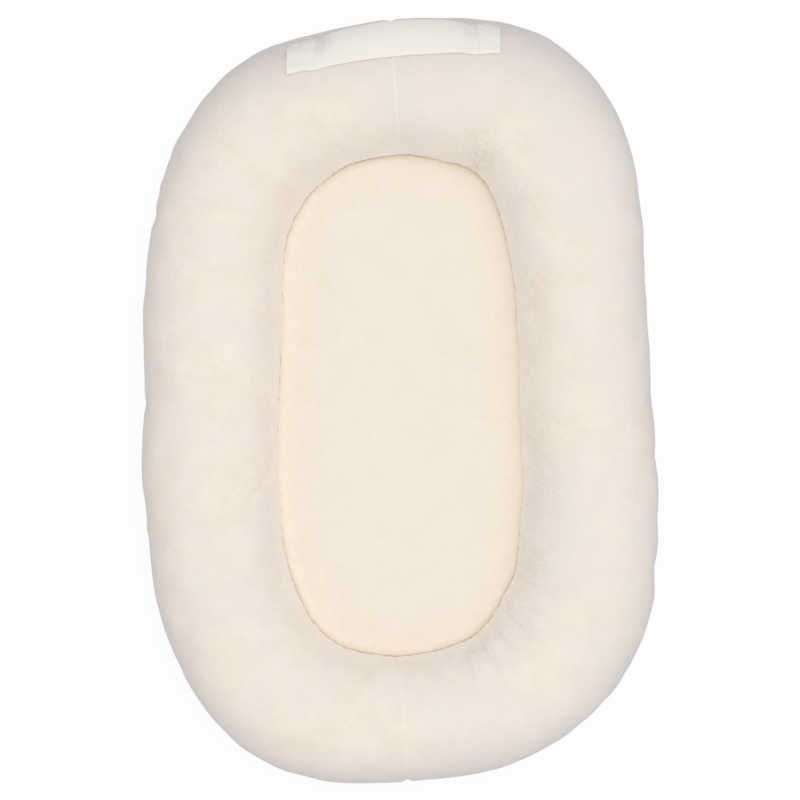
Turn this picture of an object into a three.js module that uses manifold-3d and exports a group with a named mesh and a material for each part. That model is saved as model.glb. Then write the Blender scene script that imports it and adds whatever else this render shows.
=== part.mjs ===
// Infant lounger: a stuffed oval bolster round a padded mat, with a webbing carry handle at the
// head end and a zip in the base. Millimetres, +Z up, +Y towards the head, the floor at Z = 0.

import * as THREE from 'three';
import Module from 'manifold-3d';
import { mergeVertices } from 'three/addons/utils/BufferGeometryUtils.js';

const wasm = await Module();
wasm.setup();

// Stuffed form, over all
const overallLength = 768;
const overallWidth = 518;
const bolsterWidth = 136;
const bolsterHeight = 130;
const equatorShare = 0.46; // height of the bolster's widest part, as a share of its height
const floorFlatDepth = 0.5; // how far the bolster's weight flattens it on the floor

// Roundness of the outlines, as superellipse exponents: 2 is an ellipse, more is squarer
const planRoundness = 3.1;
const crownRoundness = 2.1;
const seatRoundness = 3.0;

// How the stuffing swells and shrinks round the oval, every sixteenth of a turn anticlockwise
// from the right side: shares of the centre line's reach, and of the bolster's half width
const reachShares = [
  -0.03, -0.045, -0.03, -0.005, -0.01, -0.035, -0.01, -0.01,
  -0.015, 0, -0.005, -0.005, 0.01, -0.015, 0.02, -0.005,
];
const girthShares = [
  -0.025, -0.03, 0.02, 0.14, 0.02, 0.06, 0.01, 0.03,
  0, 0, 0, 0.03, -0.055, 0.01, 0.05, 0,
];

// Heights of the seams
const matSeamHeight = 42; // where the mat joins the bolster
const baseSeamHeight = 13; // where the plush cover joins the base cloth
const baseClearance = 8.6; // underside of the flat middle of the base
const matCrown = 8; // rise of the mat's middle above its edge
const matCrownPower = 0.7; // of the sine that the rise follows: less is flatter in the middle
const headSeamOffset = 5; // the head seam lies this far to the left of the middle
const footSeamOffset = 6; // the foot seam lies this far to the right

// Cloth and clearances
const coverThickness = 3; // plush with its pile
const linerThickness = 0.8;
const baseThickness = 1.2;
const layerGap = 0.3;
const seamGap = 0.3;
const fillingSlitLength = 120;
const fillingSlitWidth = 2;
const cutOverrun = 5;

// Pad under the mat cover
const padBulge = 3; // how far its side swells out below the groove
const padShoulder = 1.5; // how far its edges stay in from the groove
const padBottomInset = 14;
const matRingShares = [0, 0.05, 0.14, 0.3, 0.55]; // places from the rim to the middle
const padSideShares = [0.78, 0.42, 0.1]; // heights of the side's rings, from bottom to seam

// Carry handle of webbing, sewn down at both ends
const webbingWidth = 38;
const webbingThickness = 2.2;
const foldedEndThickness = 3.2;
const handleLeftReach = 113;
const handleRightReach = 100;
const leftTabLength = 26;
const rightTabLength = 22;
const handleLeftInset = 33; // from the bolster's outer edge in to the webbing's inner edge
const handleMiddleInset = 38;
const handleRightInset = 31;
const handleSlack = 9; // how far the free run's outer edge stands off the bolster
const slackRoundness = 1.5;
const webbingStep = 12; // length of the webbing's facets
const handleClearance = 0.5;
const handleLiftAngle = THREE.MathUtils.degToRad(55);

// Zip in the middle of the base
const chainEndMargin = 56; // from the chain's ends to the ends of the base's flat middle
const slotWidth = 12;
const slotMargin = 6; // slot beyond the chain at each end
const tapeWidth = 12;
const tapeThickness = 0.8;
const tapeMargin = 15; // tape beyond the slot at each end
const toothPitch = 4.2;
const toothNeckWidth = 1.2;
const toothTipWidth = 2;
const toothReach = 1.4; // past the middle
const toothThickness = 2.6;
const spineInner = 2.4;
const spineWidth = 1.2;
const stopLength = 3;
const stopGrip = 0.8; // top stop's reach inward from the spine
const bottomStopLength = 5;

// Slider and its pull
const sliderLength = 14;
const sliderWideHalf = 5.4;
const sliderNarrowHalf = 4.8;
const sliderNoseHalf = 3.2;
const sliderShoulder = 2.5;
const plateThickness = 1;
const flangeThickness = 0.8;
const flangeHeight = 0.8;
const channelClearance = 0.3;
const postLength = 4.5;
const postHalfWidth = 1.1;
const postSetback = 1;
const bridgeWidth = 1.8;
const bridgeLength = 5.6;
const bridgeLeg = 0.9;
const bridgeRoom = 2;
const bridgeBar = 1;
const pullLength = 22;
const pullThickness = 1.1;
const pullHalfWidth = 3.2;
const pullNeckHalf = 2.8;
const pullEyeHalf = 1.5;
const pullEyeLength = 4.9;
const pullBarHalf = 0.6;
const pullHoleHalf = 1.4;
const pullHoleLength = 7;
const pullHoleSetback = 3;
const pullSag = 0.1; // of the pull's bar below the middle of the bridge's eye
const joinOverlap = 0.4; // how far joined lumps of one piece run into each other

// Fineness of the soft forms: steps along half the ring and round the section
const stepsAlong = 24;
const coverStepsRound = 16;
const coreStepsRound = 10;
const webbingStepsAcross = 4;
const headSteps = 90; // fine steps for finding the bolster's top near the head
const surfaceStep = 0.1; // step of the search along the bolster's top

// Places that follow from the sizes
const equatorHeight = equatorShare * bolsterHeight;
const lineHalfWidth = (overallWidth - bolsterWidth) / 2;
const lineHalfLength = (overallLength - bolsterWidth) / 2;
const matSpineHalf = lineHalfLength - lineHalfWidth;
const headSeamAngle = Math.PI / 2 + Math.asin(headSeamOffset / lineHalfLength);
const footSeamAngle = (3 * Math.PI) / 2 + Math.asin(footSeamOffset / lineHalfLength);
const fullTurn = 2 * Math.PI;

// Materials

const plush = () => new THREE.MeshStandardMaterial({ color: 0xf2e7da, roughness: 0.95, metalness: 0 });
const lining = () => new THREE.MeshStandardMaterial({ color: 0xf4f2ee, roughness: 0.9, metalness: 0 });
const wadding = () => new THREE.MeshStandardMaterial({ color: 0xfbfaf7, roughness: 1, metalness: 0 });
const canvas = () => new THREE.MeshStandardMaterial({ color: 0xe9e1d4, roughness: 0.9, metalness: 0 });
const webbing = () => new THREE.MeshStandardMaterial({ color: 0xece8e3, roughness: 0.85, metalness: 0 });
const resin = () => new THREE.MeshStandardMaterial({ color: 0xece6da, roughness: 0.4, metalness: 0 });
const nickel = () => new THREE.MeshStandardMaterial({ color: 0xc9c8c4, roughness: 0.3, metalness: 1 });

// A share that swells and shrinks smoothly round the oval
class Swelling {
  constructor(shares) {
    const wrapped = [shares.at(-1), ...shares, shares[0], shares[1]];
    this.count = shares.length;
    this.spline = new THREE.SplineCurve(wrapped.map((share, place) => new THREE.Vector2(place, share)));
  }

  at(angle) {
    const turns = angle / fullTurn;
    const place = (turns - Math.floor(turns)) * this.count;
    return this.spline.getPoint((place + 1) / (this.count + 2)).y;
  }
}

const reach = new Swelling(reachShares);
const girth = new Swelling(girthShares);
const halfWidthAt = (angle) => (bolsterWidth / 2) * (1 + girth.at(angle));

// Centre line of the bolster in plan, between two angles round the oval
class BolsterLine extends THREE.Curve {
  constructor(fromAngle, toAngle) {
    super();
    this.fromAngle = fromAngle;
    this.toAngle = toAngle;
    this.arcLengthDivisions = 600;
  }

  angleAt(t) {
    return THREE.MathUtils.lerp(this.fromAngle, this.toAngle, t);
  }

  getPoint(t, target = new THREE.Vector3()) {
    const angle = this.angleAt(t);
    const across = (Math.abs(Math.cos(angle)) / lineHalfWidth) ** planRoundness;
    const along = (Math.abs(Math.sin(angle)) / lineHalfLength) ** planRoundness;
    const radius = (1 + reach.at(angle)) / (across + along) ** (1 / planRoundness);
    return target.set(radius * Math.cos(angle), radius * Math.sin(angle), 0);
  }

  // The place at a share of the length: point, outward direction and half width
  station(share) {
    const t = this.getUtoTmapping(share);
    const tangent = this.getTangent(t);
    return {
      point: this.getPoint(t),
      outward: new THREE.Vector3(tangent.y, -tangent.x, 0).normalize(),
      halfWidth: halfWidthAt(this.angleAt(t)),
    };
  }

  stations(steps, endGap) {
    const trim = endGap / 2 / this.getLength();
    const places = Array.from({ length: steps + 1 }, (_, step) => step / steps);
    return places.map((place) => this.station(THREE.MathUtils.lerp(trim, 1 - trim, place)));
  }
}

const leftLine = new BolsterLine(headSeamAngle, footSeamAngle);
const rightLine = new BolsterLine(footSeamAngle, headSeamAngle + fullTurn);
const ringStations = [leftLine, rightLine].flatMap((line) => line.stations(stepsAlong, 0).slice(0, -1));

// A point of the bolster's section, [out from the centre line, up from the floor], at a turn
// that starts at the outer edge and goes over the crown, and set in from the outer surface
function sectionPoint(turn, halfWidth, inset) {
  const over = Math.cos(turn);
  const up = Math.sin(turn);
  const power = 2 / (up >= 0 ? crownRoundness : seatRoundness);
  const rise = up >= 0 ? bolsterHeight - equatorHeight : equatorHeight + floorFlatDepth;
  const out = Math.sign(over) * (halfWidth - inset) * Math.abs(over) ** power;
  const height = equatorHeight + Math.sign(up) * (rise - inset) * Math.abs(up) ** power;
  return [out, Math.max(height, inset)];
}

// How far below the equator, as a turn, the section's skin reaches a height
function turnDownTo(height) {
  const share = (equatorHeight - height) / (equatorHeight + floorFlatDepth);
  return Math.asin(share ** (seatRoundness / 2));
}

const baseSeamTurn = -turnDownTo(baseSeamHeight);
const matSeamTurn = Math.PI + turnDownTo(matSeamHeight);
const baseMiddleTurn = Math.PI + turnDownTo(baseClearance);
const seamGapTurn = seamGap / equatorHeight;

function evenTurns(from, to, steps) {
  return Array.from({ length: steps + 1 }, (_, step) => THREE.MathUtils.lerp(from, to, step / steps));
}

const onSection = (station, turn, inset) => {
  const [out, height] = sectionPoint(turn, station.halfWidth, inset);
  return station.point.clone().addScaledVector(station.outward, out).setZ(height);
};

const sectionRows = (stations, turns, inset) =>
  stations.map((station) => turns.map((turn) => onSection(station, turn, inset)));

// Bodies from lattices of points

// A closed geometry from four-cornered faces, turned so that its faces point out
function closedGeometry(points, faces) {
  const corners = faces.flatMap(([a, b, c, d]) => [a, b, c, a, c, d]);
  const loose = new THREE.BufferGeometry();
  loose.setAttribute('position', new THREE.Float32BufferAttribute(points.flatMap((p) => [p.x, p.y, p.z]), 3));
  loose.setIndex(corners);
  const merged = mergeVertices(loose);
  const index = [...merged.index.array];
  const whole = [];
  for (let first = 0; first < index.length; first += 3) {
    const triangle = index.slice(first, first + 3);
    if (new Set(triangle).size === 3) {
      whole.push(triangle);
    }
  }
  const corner = (id) => new THREE.Vector3().fromBufferAttribute(merged.attributes.position, id);
  const volume = whole.reduce((sum, ids) => {
    const [a, b, c] = ids.map(corner);
    return sum + a.dot(b.cross(c));
  }, 0);
  merged.setIndex((volume < 0 ? whole.map(([a, b, c]) => [a, c, b]) : whole).flat());
  return merged;
}

// A cloth panel between two skins of points, closed all along its edges; a ring has no ends
function panelGeometry(outer, inner, isRing) {
  const across = outer[0].length;
  const innerStart = outer.length * across;
  const id = (row, column, isInner) => (row % outer.length) * across + column + (isInner ? innerStart : 0);
  const lastRow = isRing ? outer.length : outer.length - 1;
  const faces = [];
  for (let row = 0; row < lastRow; row += 1) {
    for (let column = 0; column < across - 1; column += 1) {
      faces.push([id(row, column), id(row + 1, column), id(row + 1, column + 1), id(row, column + 1)]);
      faces.push([
        id(row, column, true), id(row, column + 1, true),
        id(row + 1, column + 1, true), id(row + 1, column, true),
      ]);
    }
    faces.push([id(row, 0), id(row, 0, true), id(row + 1, 0, true), id(row + 1, 0)]);
    const end = across - 1;
    faces.push([id(row, end), id(row + 1, end), id(row + 1, end, true), id(row, end, true)]);
  }
  if (!isRing) {
    for (let column = 0; column < across - 1; column += 1) {
      faces.push([id(0, column), id(0, column + 1), id(0, column + 1, true), id(0, column, true)]);
      faces.push([
        id(lastRow, column), id(lastRow, column, true),
        id(lastRow, column + 1, true), id(lastRow, column + 1),
      ]);
    }
  }
  return closedGeometry([...outer.flat(), ...inner.flat()], faces);
}

// A closed tube whose rows join up both ways, as a tyre's do
function ringGeometry(rows) {
  const across = rows[0].length;
  const id = (row, column) => (row % rows.length) * across + (column % across);
  const faces = [];
  for (let row = 0; row < rows.length; row += 1) {
    for (let column = 0; column < across; column += 1) {
      faces.push([id(row, column), id(row + 1, column), id(row + 1, column + 1), id(row, column + 1)]);
    }
  }
  return closedGeometry(rows.flat(), faces);
}

// A closed cushion from loops of points, with a flat facet across the first and the last
function cushionGeometry(loops) {
  const around = loops[0].length;
  const id = (loop, place) => loop * around + (place % around);
  const faces = [];
  for (let loop = 0; loop < loops.length - 1; loop += 1) {
    for (let place = 0; place < around; place += 1) {
      faces.push([id(loop, place), id(loop + 1, place), id(loop + 1, place + 1), id(loop, place + 1)]);
    }
  }
  const flatFacet = (loop) =>
    THREE.ShapeUtils.triangulateShape(loops[loop].map((p) => new THREE.Vector2(p.x, p.y)), []);
  for (const [a, b, c] of flatFacet(0)) {
    faces.push([id(0, a), id(0, b), id(0, c), id(0, c)]);
  }
  const last = loops.length - 1;
  for (const [a, b, c] of flatFacet(last)) {
    faces.push([id(last, a), id(last, c), id(last, b), id(last, b)]);
  }
  return closedGeometry(loops.flat(), faces);
}

// Solids that are joined or cut

function toSolid(geometry) {
  const bare = new THREE.BufferGeometry();
  const source = geometry.index ? geometry : mergeVertices(geometry);
  bare.setAttribute('position', source.attributes.position.clone());
  bare.setIndex([...source.index.array]);
  const welded = mergeVertices(bare);
  const vertProperties = new Float32Array(welded.attributes.position.array);
  const triVerts = new Uint32Array(welded.index.array);
  return new wasm.Manifold(new wasm.Mesh({ numProp: 3, vertProperties, triVerts }));
}

function toGeometry(solid) {
  const mesh = solid.getMesh();
  const geometry = new THREE.BufferGeometry();
  geometry.setAttribute('position', new THREE.BufferAttribute(new Float32Array(mesh.vertProperties), 3));
  geometry.setIndex([...mesh.triVerts]);
  return geometry;
}

const joined = (...geometries) =>
  toGeometry(geometries.map(toSolid).reduce((whole, lump) => whole.add(lump)));

const cut = (geometry, ...tools) =>
  toGeometry(tools.map(toSolid).reduce((whole, tool) => whole.subtract(tool), toSolid(geometry)));

// A box between two corners
function boxBetween(low, high) {
  const size = new THREE.Vector3().subVectors(high, low);
  const middle = new THREE.Vector3().addVectors(high, low).multiplyScalar(0.5);
  return new THREE.BoxGeometry(size.x, size.y, size.z).translate(middle.x, middle.y, middle.z);
}

const at = (x, y, z) => new THREE.Vector3(x, y, z);

// An outline in plan, extruded up between two heights
function slab(outline, low, high, holes = []) {
  const shape = new THREE.Shape(outline.map(([x, y]) => new THREE.Vector2(x, y)));
  shape.holes = holes.map((hole) => new THREE.Path(hole.map(([x, y]) => new THREE.Vector2(x, y))));
  const extruded = new THREE.ExtrudeGeometry(shape, { depth: high - low, bevelEnabled: false });
  return extruded.translate(0, 0, low);
}

const model = new THREE.Group();

function addPiece(name, geometry, material, group = model) {
  const flat = geometry.index ? geometry.toNonIndexed() : geometry;
  flat.computeVertexNormals();
  const mesh = new THREE.Mesh(flat, material);
  mesh.name = name;
  group.add(mesh);
}

// Bolster: two plush cover halves, a closed lining tube and its stuffing

function buildCoverHalf(name, line) {
  const stations = line.stations(stepsAlong, seamGap);
  const turns = evenTurns(baseSeamTurn, matSeamTurn, coverStepsRound);
  const outer = sectionRows(stations, turns, 0);
  const inner = sectionRows(stations, turns, coverThickness);
  addPiece(name, panelGeometry(outer, inner, false), plush());
}

function buildBolsterCore() {
  const turns = coreTurns();
  const skin = (inset) => ringGeometry(sectionRows(ringStations, turns, inset));
  const linerInset = coverThickness + layerGap;
  const slit = boxBetween(
    at(lineHalfWidth, -fillingSlitLength / 2, equatorHeight - fillingSlitWidth / 2),
    at(overallWidth / 2, fillingSlitLength / 2, equatorHeight + fillingSlitWidth / 2),
  );
  addPiece('bolster_liner', cut(skin(linerInset), skin(linerInset + linerThickness), slit), lining());
  addPiece('bolster_fill', skin(linerInset + linerThickness + layerGap), wadding());
}

// The lining's turns are some of the cover's own, so that its facets stay inside the cover's
function coreTurns() {
  const coverTurns = evenTurns(baseSeamTurn, matSeamTurn, coverStepsRound);
  const shared = coverTurns.filter((_, place) => place % 2 === 0);
  const below = evenTurns(matSeamTurn, baseSeamTurn + fullTurn, coreStepsRound / 2).slice(1, -1);
  return [...shared, ...below];
}

// Mat: a plush top panel sewn in at the groove, over a pad in its own lining

const matRimOut = (station) =>
  sectionPoint(matSeamTurn, station.halfWidth, 0)[0] - layerGap;

// A loop of points over the mat: a share of the way from the rim to the middle, a shift
// outwards under the bolster, and a height
function matLoop(share, shift, height) {
  return ringStations.map((station) => {
    const rim = station.point.clone().addScaledVector(station.outward, matRimOut(station) + shift);
    const middle = at(0, THREE.MathUtils.clamp(rim.y, -matSpineHalf, matSpineHalf), 0);
    return rim.lerp(middle, share).setZ(height);
  });
}

const matRimTop = matSeamHeight + layerGap + coverThickness;

function matTopHeight(share) {
  const inward = share / matRingShares.at(-1);
  return matRimTop + matCrown * Math.sin((inward * Math.PI) / 2) ** matCrownPower;
}

function buildMat() {
  const top = matRingShares.map((share) => matLoop(share, 0, matTopHeight(share)));
  const under = matRingShares.map((share) => matLoop(share, 0, matTopHeight(share) - coverThickness));
  addPiece('mat_cover', cushionGeometry([...top.reverse(), ...under]), plush());

  const linerInset = coverThickness + layerGap;
  const slit = boxBetween(
    at(-fillingSlitWidth / 2, -fillingSlitLength / 2, padBottom - cutOverrun),
    at(fillingSlitWidth / 2, fillingSlitLength / 2, padBottom + cutOverrun),
  );
  const skin = (inset) => cushionGeometry(padLoops(linerInset, inset));
  addPiece('mat_liner', cut(skin(0), skin(linerThickness), slit), lining());
  addPiece('mat_fill', skin(linerThickness + layerGap), wadding());
}

// The pad's loops, from its middle on top, over its side and in again underneath
function padLoops(depth, inset) {
  const onTop = matRingShares.slice(1).reverse();
  const top = onTop.map((share) => matLoop(share, 0, matTopHeight(share) - depth - inset));
  const shifts = [-padShoulder, padBulge, -padShoulder];
  const side = padSideShares.map((share, place) => {
    const height = THREE.MathUtils.lerp(padBottom, matSeamHeight, share);
    return matLoop(0, shifts[place] - inset, height);
  });
  return [...top, ...side, matLoop(0, -padBottomInset, padBottom + inset)];
}

// Base: two halves of plain cloth that meet along the middle, with a slot for the zip

const baseTop = sectionPoint(baseMiddleTurn, bolsterWidth / 2, baseThickness)[1];
const baseMiddleOut = sectionPoint(baseMiddleTurn, bolsterWidth / 2, 0)[0];
const chainHead = lineHalfLength + baseMiddleOut - chainEndMargin;
const chainFoot = -chainHead;
const slotHalf = chainHead + slotMargin;

function baseTurns() {
  const flatTurn = turnDownTo(0);
  const stepsEachSide = 3;
  const outside = evenTurns(baseSeamTurn - seamGapTurn, -flatTurn, stepsEachSide);
  const inside = evenTurns(flatTurn - Math.PI, baseMiddleTurn - fullTurn, stepsEachSide);
  return [...outside, ...inside];
}

// Where each row of a base half ends, on the middle seam between the two
function baseSeamPoints() {
  const innerEnds = [leftLine, rightLine].map((line) =>
    line.stations(stepsAlong, 0).map((station) => onSection(station, baseMiddleTurn, 0)));
  const [left, right] = [innerEnds[0], innerEnds[1].reverse()];
  return left.map((point, row) => {
    const y = (point.y + right[row].y) / 2;
    const end = y > 0 ? left[0] : left.at(-1);
    const slotEnd = Math.sign(end.y) * slotHalf;
    const beyondSlot = Math.max(0, (y - slotEnd) / (end.y - slotEnd));
    return at(end.x * beyondSlot, y, 0);
  });
}

function buildBaseHalf(name, line, side) {
  const stations = line.stations(stepsAlong, seamGap);
  const seam = side < 0 ? baseSeamPoints() : baseSeamPoints().reverse();
  const extended = (inset, height) => sectionRows(stations, baseTurns(), inset).map((row, place) => {
    const innerEnd = row.at(-1).clone().setZ(height);
    const isEnd = place === 0 || place === stations.length - 1;
    const target = isEnd ? innerEnd : seam[place].clone().setZ(height).add(at((side * seamGap) / 2, 0, 0));
    return [...row.slice(0, -1), innerEnd, innerEnd.clone().lerp(target, 0.5), target];
  });
  const panel = panelGeometry(extended(0, baseClearance), extended(baseThickness, baseTop), false);
  const slot = boxBetween(
    at(-slotWidth / 2, -slotHalf, baseClearance - cutOverrun),
    at(slotWidth / 2, slotHalf, baseTop + cutOverrun),
  );
  addPiece(name, cut(panel, slot), canvas());
}

// Zip: tapes sewn above the base cloth, toothed chains that mesh along the middle, and stops

const tapeLow = baseTop + layerGap;
const chainMiddle = tapeLow + tapeThickness / 2;
const toothLow = chainMiddle - toothThickness / 2;
const toothHigh = chainMiddle + toothThickness / 2;
const channelLow = toothLow - channelClearance;
const channelHigh = toothHigh + channelClearance;
const padBottom = channelHigh + plateThickness + handleClearance;
const spineOuter = spineInner + spineWidth;
const sliderRest = chainHead - sliderLength / 2 - layerGap;
const teethHead = sliderRest + sliderLength / 2 - postSetback - postLength - layerGap;

function buildTape(name, side) {
  const edges = [side * (spineOuter + layerGap), side * (spineOuter + layerGap + tapeWidth)];
  const half = slotHalf + tapeMargin;
  const low = at(Math.min(...edges), -half, tapeLow);
  const high = at(Math.max(...edges), half, tapeLow + tapeThickness);
  addPiece(name, boxBetween(low, high), webbing());
}

// One side of the chain as a comb: a spine along the tape's edge with teeth that widen to their tips
function buildChain(name, side) {
  const phase = side < 0 ? 0 : toothPitch / 2;
  const firstTooth = chainFoot + toothTipWidth / 2 + phase;
  const count = Math.floor((teethHead - toothTipWidth / 2 - firstTooth) / toothPitch) + 1;
  const outline = [[side * spineOuter, chainFoot]];
  outline.push([side * spineInner, chainFoot]);
  for (let tooth = 0; tooth < count; tooth += 1) {
    const middle = firstTooth + tooth * toothPitch;
    outline.push([side * spineInner, middle - toothNeckWidth / 2]);
    outline.push([-side * toothReach, middle - toothTipWidth / 2]);
    outline.push([-side * toothReach, middle + toothTipWidth / 2]);
    outline.push([side * spineInner, middle + toothNeckWidth / 2]);
  }
  outline.push([side * spineInner, chainHead]);
  outline.push([side * spineOuter, chainHead]);
  addPiece(name, slab(outline, toothLow, toothHigh), resin());
}

function buildStops() {
  const low = toothLow - layerGap / 2;
  const high = toothHigh + layerGap / 2;
  for (const [name, side] of [['zip_top_stop_left', -1], ['zip_top_stop_right', 1]]) {
    const edges = [side * (spineInner - stopGrip), side * spineOuter];
    const foot = chainHead + layerGap;
    const stop = boxBetween(
      at(Math.min(...edges), foot, low),
      at(Math.max(...edges), foot + stopLength, high),
    );
    addPiece(name, stop, nickel());
  }
  const head = chainFoot - layerGap;
  const bottomStop = boxBetween(at(-spineOuter, head - bottomStopLength, low), at(spineOuter, head, high));
  addPiece('zip_bottom_stop', bottomStop, nickel());
}

// Slider: two plates over a channel with side flanges, a wedge post, and a bridge for the pull
function buildSlider(group) {
  const half = sliderLength / 2;
  const shoulder = half - sliderShoulder;
  const plateOutline = [
    [-sliderNarrowHalf, -half], [sliderNarrowHalf, -half], [sliderWideHalf, shoulder],
    [sliderNoseHalf, half], [-sliderNoseHalf, half], [-sliderWideHalf, shoulder],
  ];
  const flangeOutline = (side) => [
    [side * sliderNarrowHalf, -half],
    [side * sliderWideHalf, shoulder],
    [side * (sliderWideHalf - flangeThickness), shoulder],
    [side * (sliderNarrowHalf - flangeThickness), -half],
  ];
  const postHead = half - postSetback;
  const postOutline = [
    [0, postHead - postLength], [postHalfWidth, postHead - postLength / 2],
    [0, postHead], [-postHalfWidth, postHead - postLength / 2],
  ];
  const plateLow = channelLow - plateThickness;
  const plateHigh = channelHigh + plateThickness;
  const lumps = [
    slab(plateOutline, plateLow, channelLow),
    slab(plateOutline, channelHigh, plateHigh),
    slab(postOutline, channelLow - joinOverlap, channelHigh + joinOverlap),
  ];
  for (const side of [-1, 1]) {
    lumps.push(slab(flangeOutline(side), channelLow - joinOverlap, channelLow + flangeHeight));
    lumps.push(slab(flangeOutline(side), channelHigh - flangeHeight, channelHigh + joinOverlap));
  }
  const bridgeLow = plateLow - bridgeRoom - bridgeBar;
  const bridgeHalf = bridgeLength / 2;
  const bridge = boxBetween(
    at(-bridgeWidth / 2, -bridgeHalf, bridgeLow),
    at(bridgeWidth / 2, bridgeHalf, plateLow + joinOverlap),
  );
  const bridgeEye = boxBetween(
    at(-bridgeWidth, bridgeLeg - bridgeHalf, plateLow - bridgeRoom),
    at(bridgeWidth, bridgeHalf - bridgeLeg, plateLow),
  );
  lumps.push(cut(bridge, bridgeEye));
  addPiece('zip_slider', joined(...lumps), nickel(), group);
}

// Pull: a tab with an eye that hangs on the slider's bridge and turns about its own cross bar
function buildPull(group) {
  const high = pullThickness / 2;
  const tip = pullBarHalf - pullLength;
  const eyeFoot = -pullBarHalf - pullEyeLength;
  const neckHead = eyeFoot - pullBarHalf;
  const neck = neckHead - pullNeckHalf;
  const outline = [
    [-pullNeckHalf, pullBarHalf], [-pullNeckHalf, neckHead], [-pullHalfWidth, neck],
    [-pullHalfWidth, tip + pullHalfWidth / 2], [-pullHalfWidth / 2, tip],
    [pullHalfWidth / 2, tip], [pullHalfWidth, tip + pullHalfWidth / 2],
    [pullHalfWidth, neck], [pullNeckHalf, neckHead], [pullNeckHalf, pullBarHalf],
  ];
  const hole = (halfAcross, from, to) => [
    [-halfAcross, from], [halfAcross, from], [halfAcross, to], [-halfAcross, to],
  ];
  const holeFoot = tip + pullHoleSetback;
  const holes = [
    hole(pullEyeHalf, eyeFoot, -pullBarHalf),
    hole(pullHoleHalf, holeFoot, holeFoot + pullHoleLength),
  ];
  addPiece('zip_pull', slab(outline, -high, high, holes), nickel(), group);
}

function buildZip() {
  buildTape('zip_tape_left', -1);
  buildTape('zip_tape_right', 1);
  buildChain('zip_teeth_left', -1);
  buildChain('zip_teeth_right', 1);
  buildStops();
  const slider = new THREE.Group();
  slider.position.set(0, sliderRest, 0);
  model.add(slider);
  buildSlider(slider);
  const pull = new THREE.Group();
  const pullDrop = bridgeRoom / 2 + pullSag;
  pull.position.set(0, 0, channelLow - plateThickness - pullDrop);
  slider.add(pull);
  buildPull(pull);
}

// Carry handle: a free run of webbing and two sewn ends, laid over the bolster's head

const headLine = new BolsterLine(Math.PI / 4, (3 * Math.PI) / 4);
const headStations = headLine.stations(headSteps, 0);
const liftDirection = at(0, Math.cos(handleLiftAngle), Math.sin(handleLiftAngle));
const freeLeft = leftTabLength - handleLeftReach;
const freeRight = handleRightReach - rightTabLength;

// Height of the bolster's top at a place in plan near the head
function topAt(x, y) {
  let best = null;
  for (const station of headStations) {
    const reachOut = at(x, y, 0).sub(station.point);
    const aside = Math.abs(reachOut.x * station.outward.y - reachOut.y * station.outward.x);
    if (!best || aside < best.aside) {
      best = { aside, out: reachOut.dot(station.outward), halfWidth: station.halfWidth };
    }
  }
  const share = Math.min(1, Math.abs(best.out) / best.halfWidth);
  const rise = (1 - share ** crownRoundness) ** (1 / crownRoundness);
  const z = equatorHeight + (bolsterHeight - equatorHeight) * rise;
  return { out: best.out, halfWidth: best.halfWidth, z };
}

// Plan position of the webbing's inner edge at a place across the lounger
function innerEdgeY(x) {
  const share = (x + handleLeftReach) / (handleLeftReach + handleRightReach);
  const toMiddle = 1 - (2 * share - 1) ** 2;
  const endInset = THREE.MathUtils.lerp(handleLeftInset, handleRightInset, share);
  const inset = THREE.MathUtils.lerp(endInset, handleMiddleInset, toMiddle);
  let y = overallLength / 2;
  let place = topAt(x, y);
  while (place.out > place.halfWidth - inset) {
    y -= surfaceStep;
    place = topAt(x, y);
  }
  return y;
}

// Points across the webbing at one place, from its inner edge outwards along the cloth
function acrossWebbing(x, slackShare) {
  const points = [];
  let y = innerEdgeY(x);
  let run = 0;
  let last = at(x, y, topAt(x, y).z);
  for (let step = 0; step <= webbingStepsAcross; step += 1) {
    while (run < (webbingWidth * step) / webbingStepsAcross) {
      y += surfaceStep;
      const next = at(x, y, topAt(x, y).z);
      run += next.distanceTo(last);
      last = next;
    }
    const lift = handleClearance + (handleSlack * slackShare * step) / webbingStepsAcross;
    points.push(last.clone().addScaledVector(liftDirection, lift));
  }
  return points;
}

function buildWebbing(name, fromX, toX, thickness) {
  const steps = Math.ceil((toX - fromX) / webbingStep);
  const rows = Array.from({ length: steps + 1 }, (_, step) => {
    const x = THREE.MathUtils.lerp(fromX, toX, step / steps);
    const share = THREE.MathUtils.clamp((x - freeLeft) / (freeRight - freeLeft), 0, 1);
    return acrossWebbing(x, Math.sin(share * Math.PI) ** slackRoundness);
  });
  const raised = rows.map((row) => row.map((p) => p.clone().addScaledVector(liftDirection, thickness)));
  addPiece(name, panelGeometry(raised, rows, false), webbing());
}

function buildHandle() {
  buildWebbing('handle_end_left', -handleLeftReach, freeLeft - seamGap / 2, foldedEndThickness);
  buildWebbing('handle_strap', freeLeft + seamGap / 2, freeRight - seamGap / 2, webbingThickness);
  buildWebbing('handle_end_right', freeRight + seamGap / 2, handleRightReach, foldedEndThickness);
}

buildCoverHalf('bolster_cover_left', leftLine);
buildCoverHalf('bolster_cover_right', rightLine);
buildBolsterCore();
buildMat();
buildBaseHalf('base_panel_left', leftLine, -1);
buildBaseHalf('base_panel_right', rightLine, 1);
buildZip();
buildHandle();

export default model;
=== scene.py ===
# Infant lounger: a stuffed plush bolster round a padded mat, with a webbing carry handle at the
# head end and a zip in the base. Metres, +Z up, +Y towards the head, the floor at Z = 0.

import math

import bmesh
import bpy
import numpy as np
from mathutils import Matrix, noise


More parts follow.
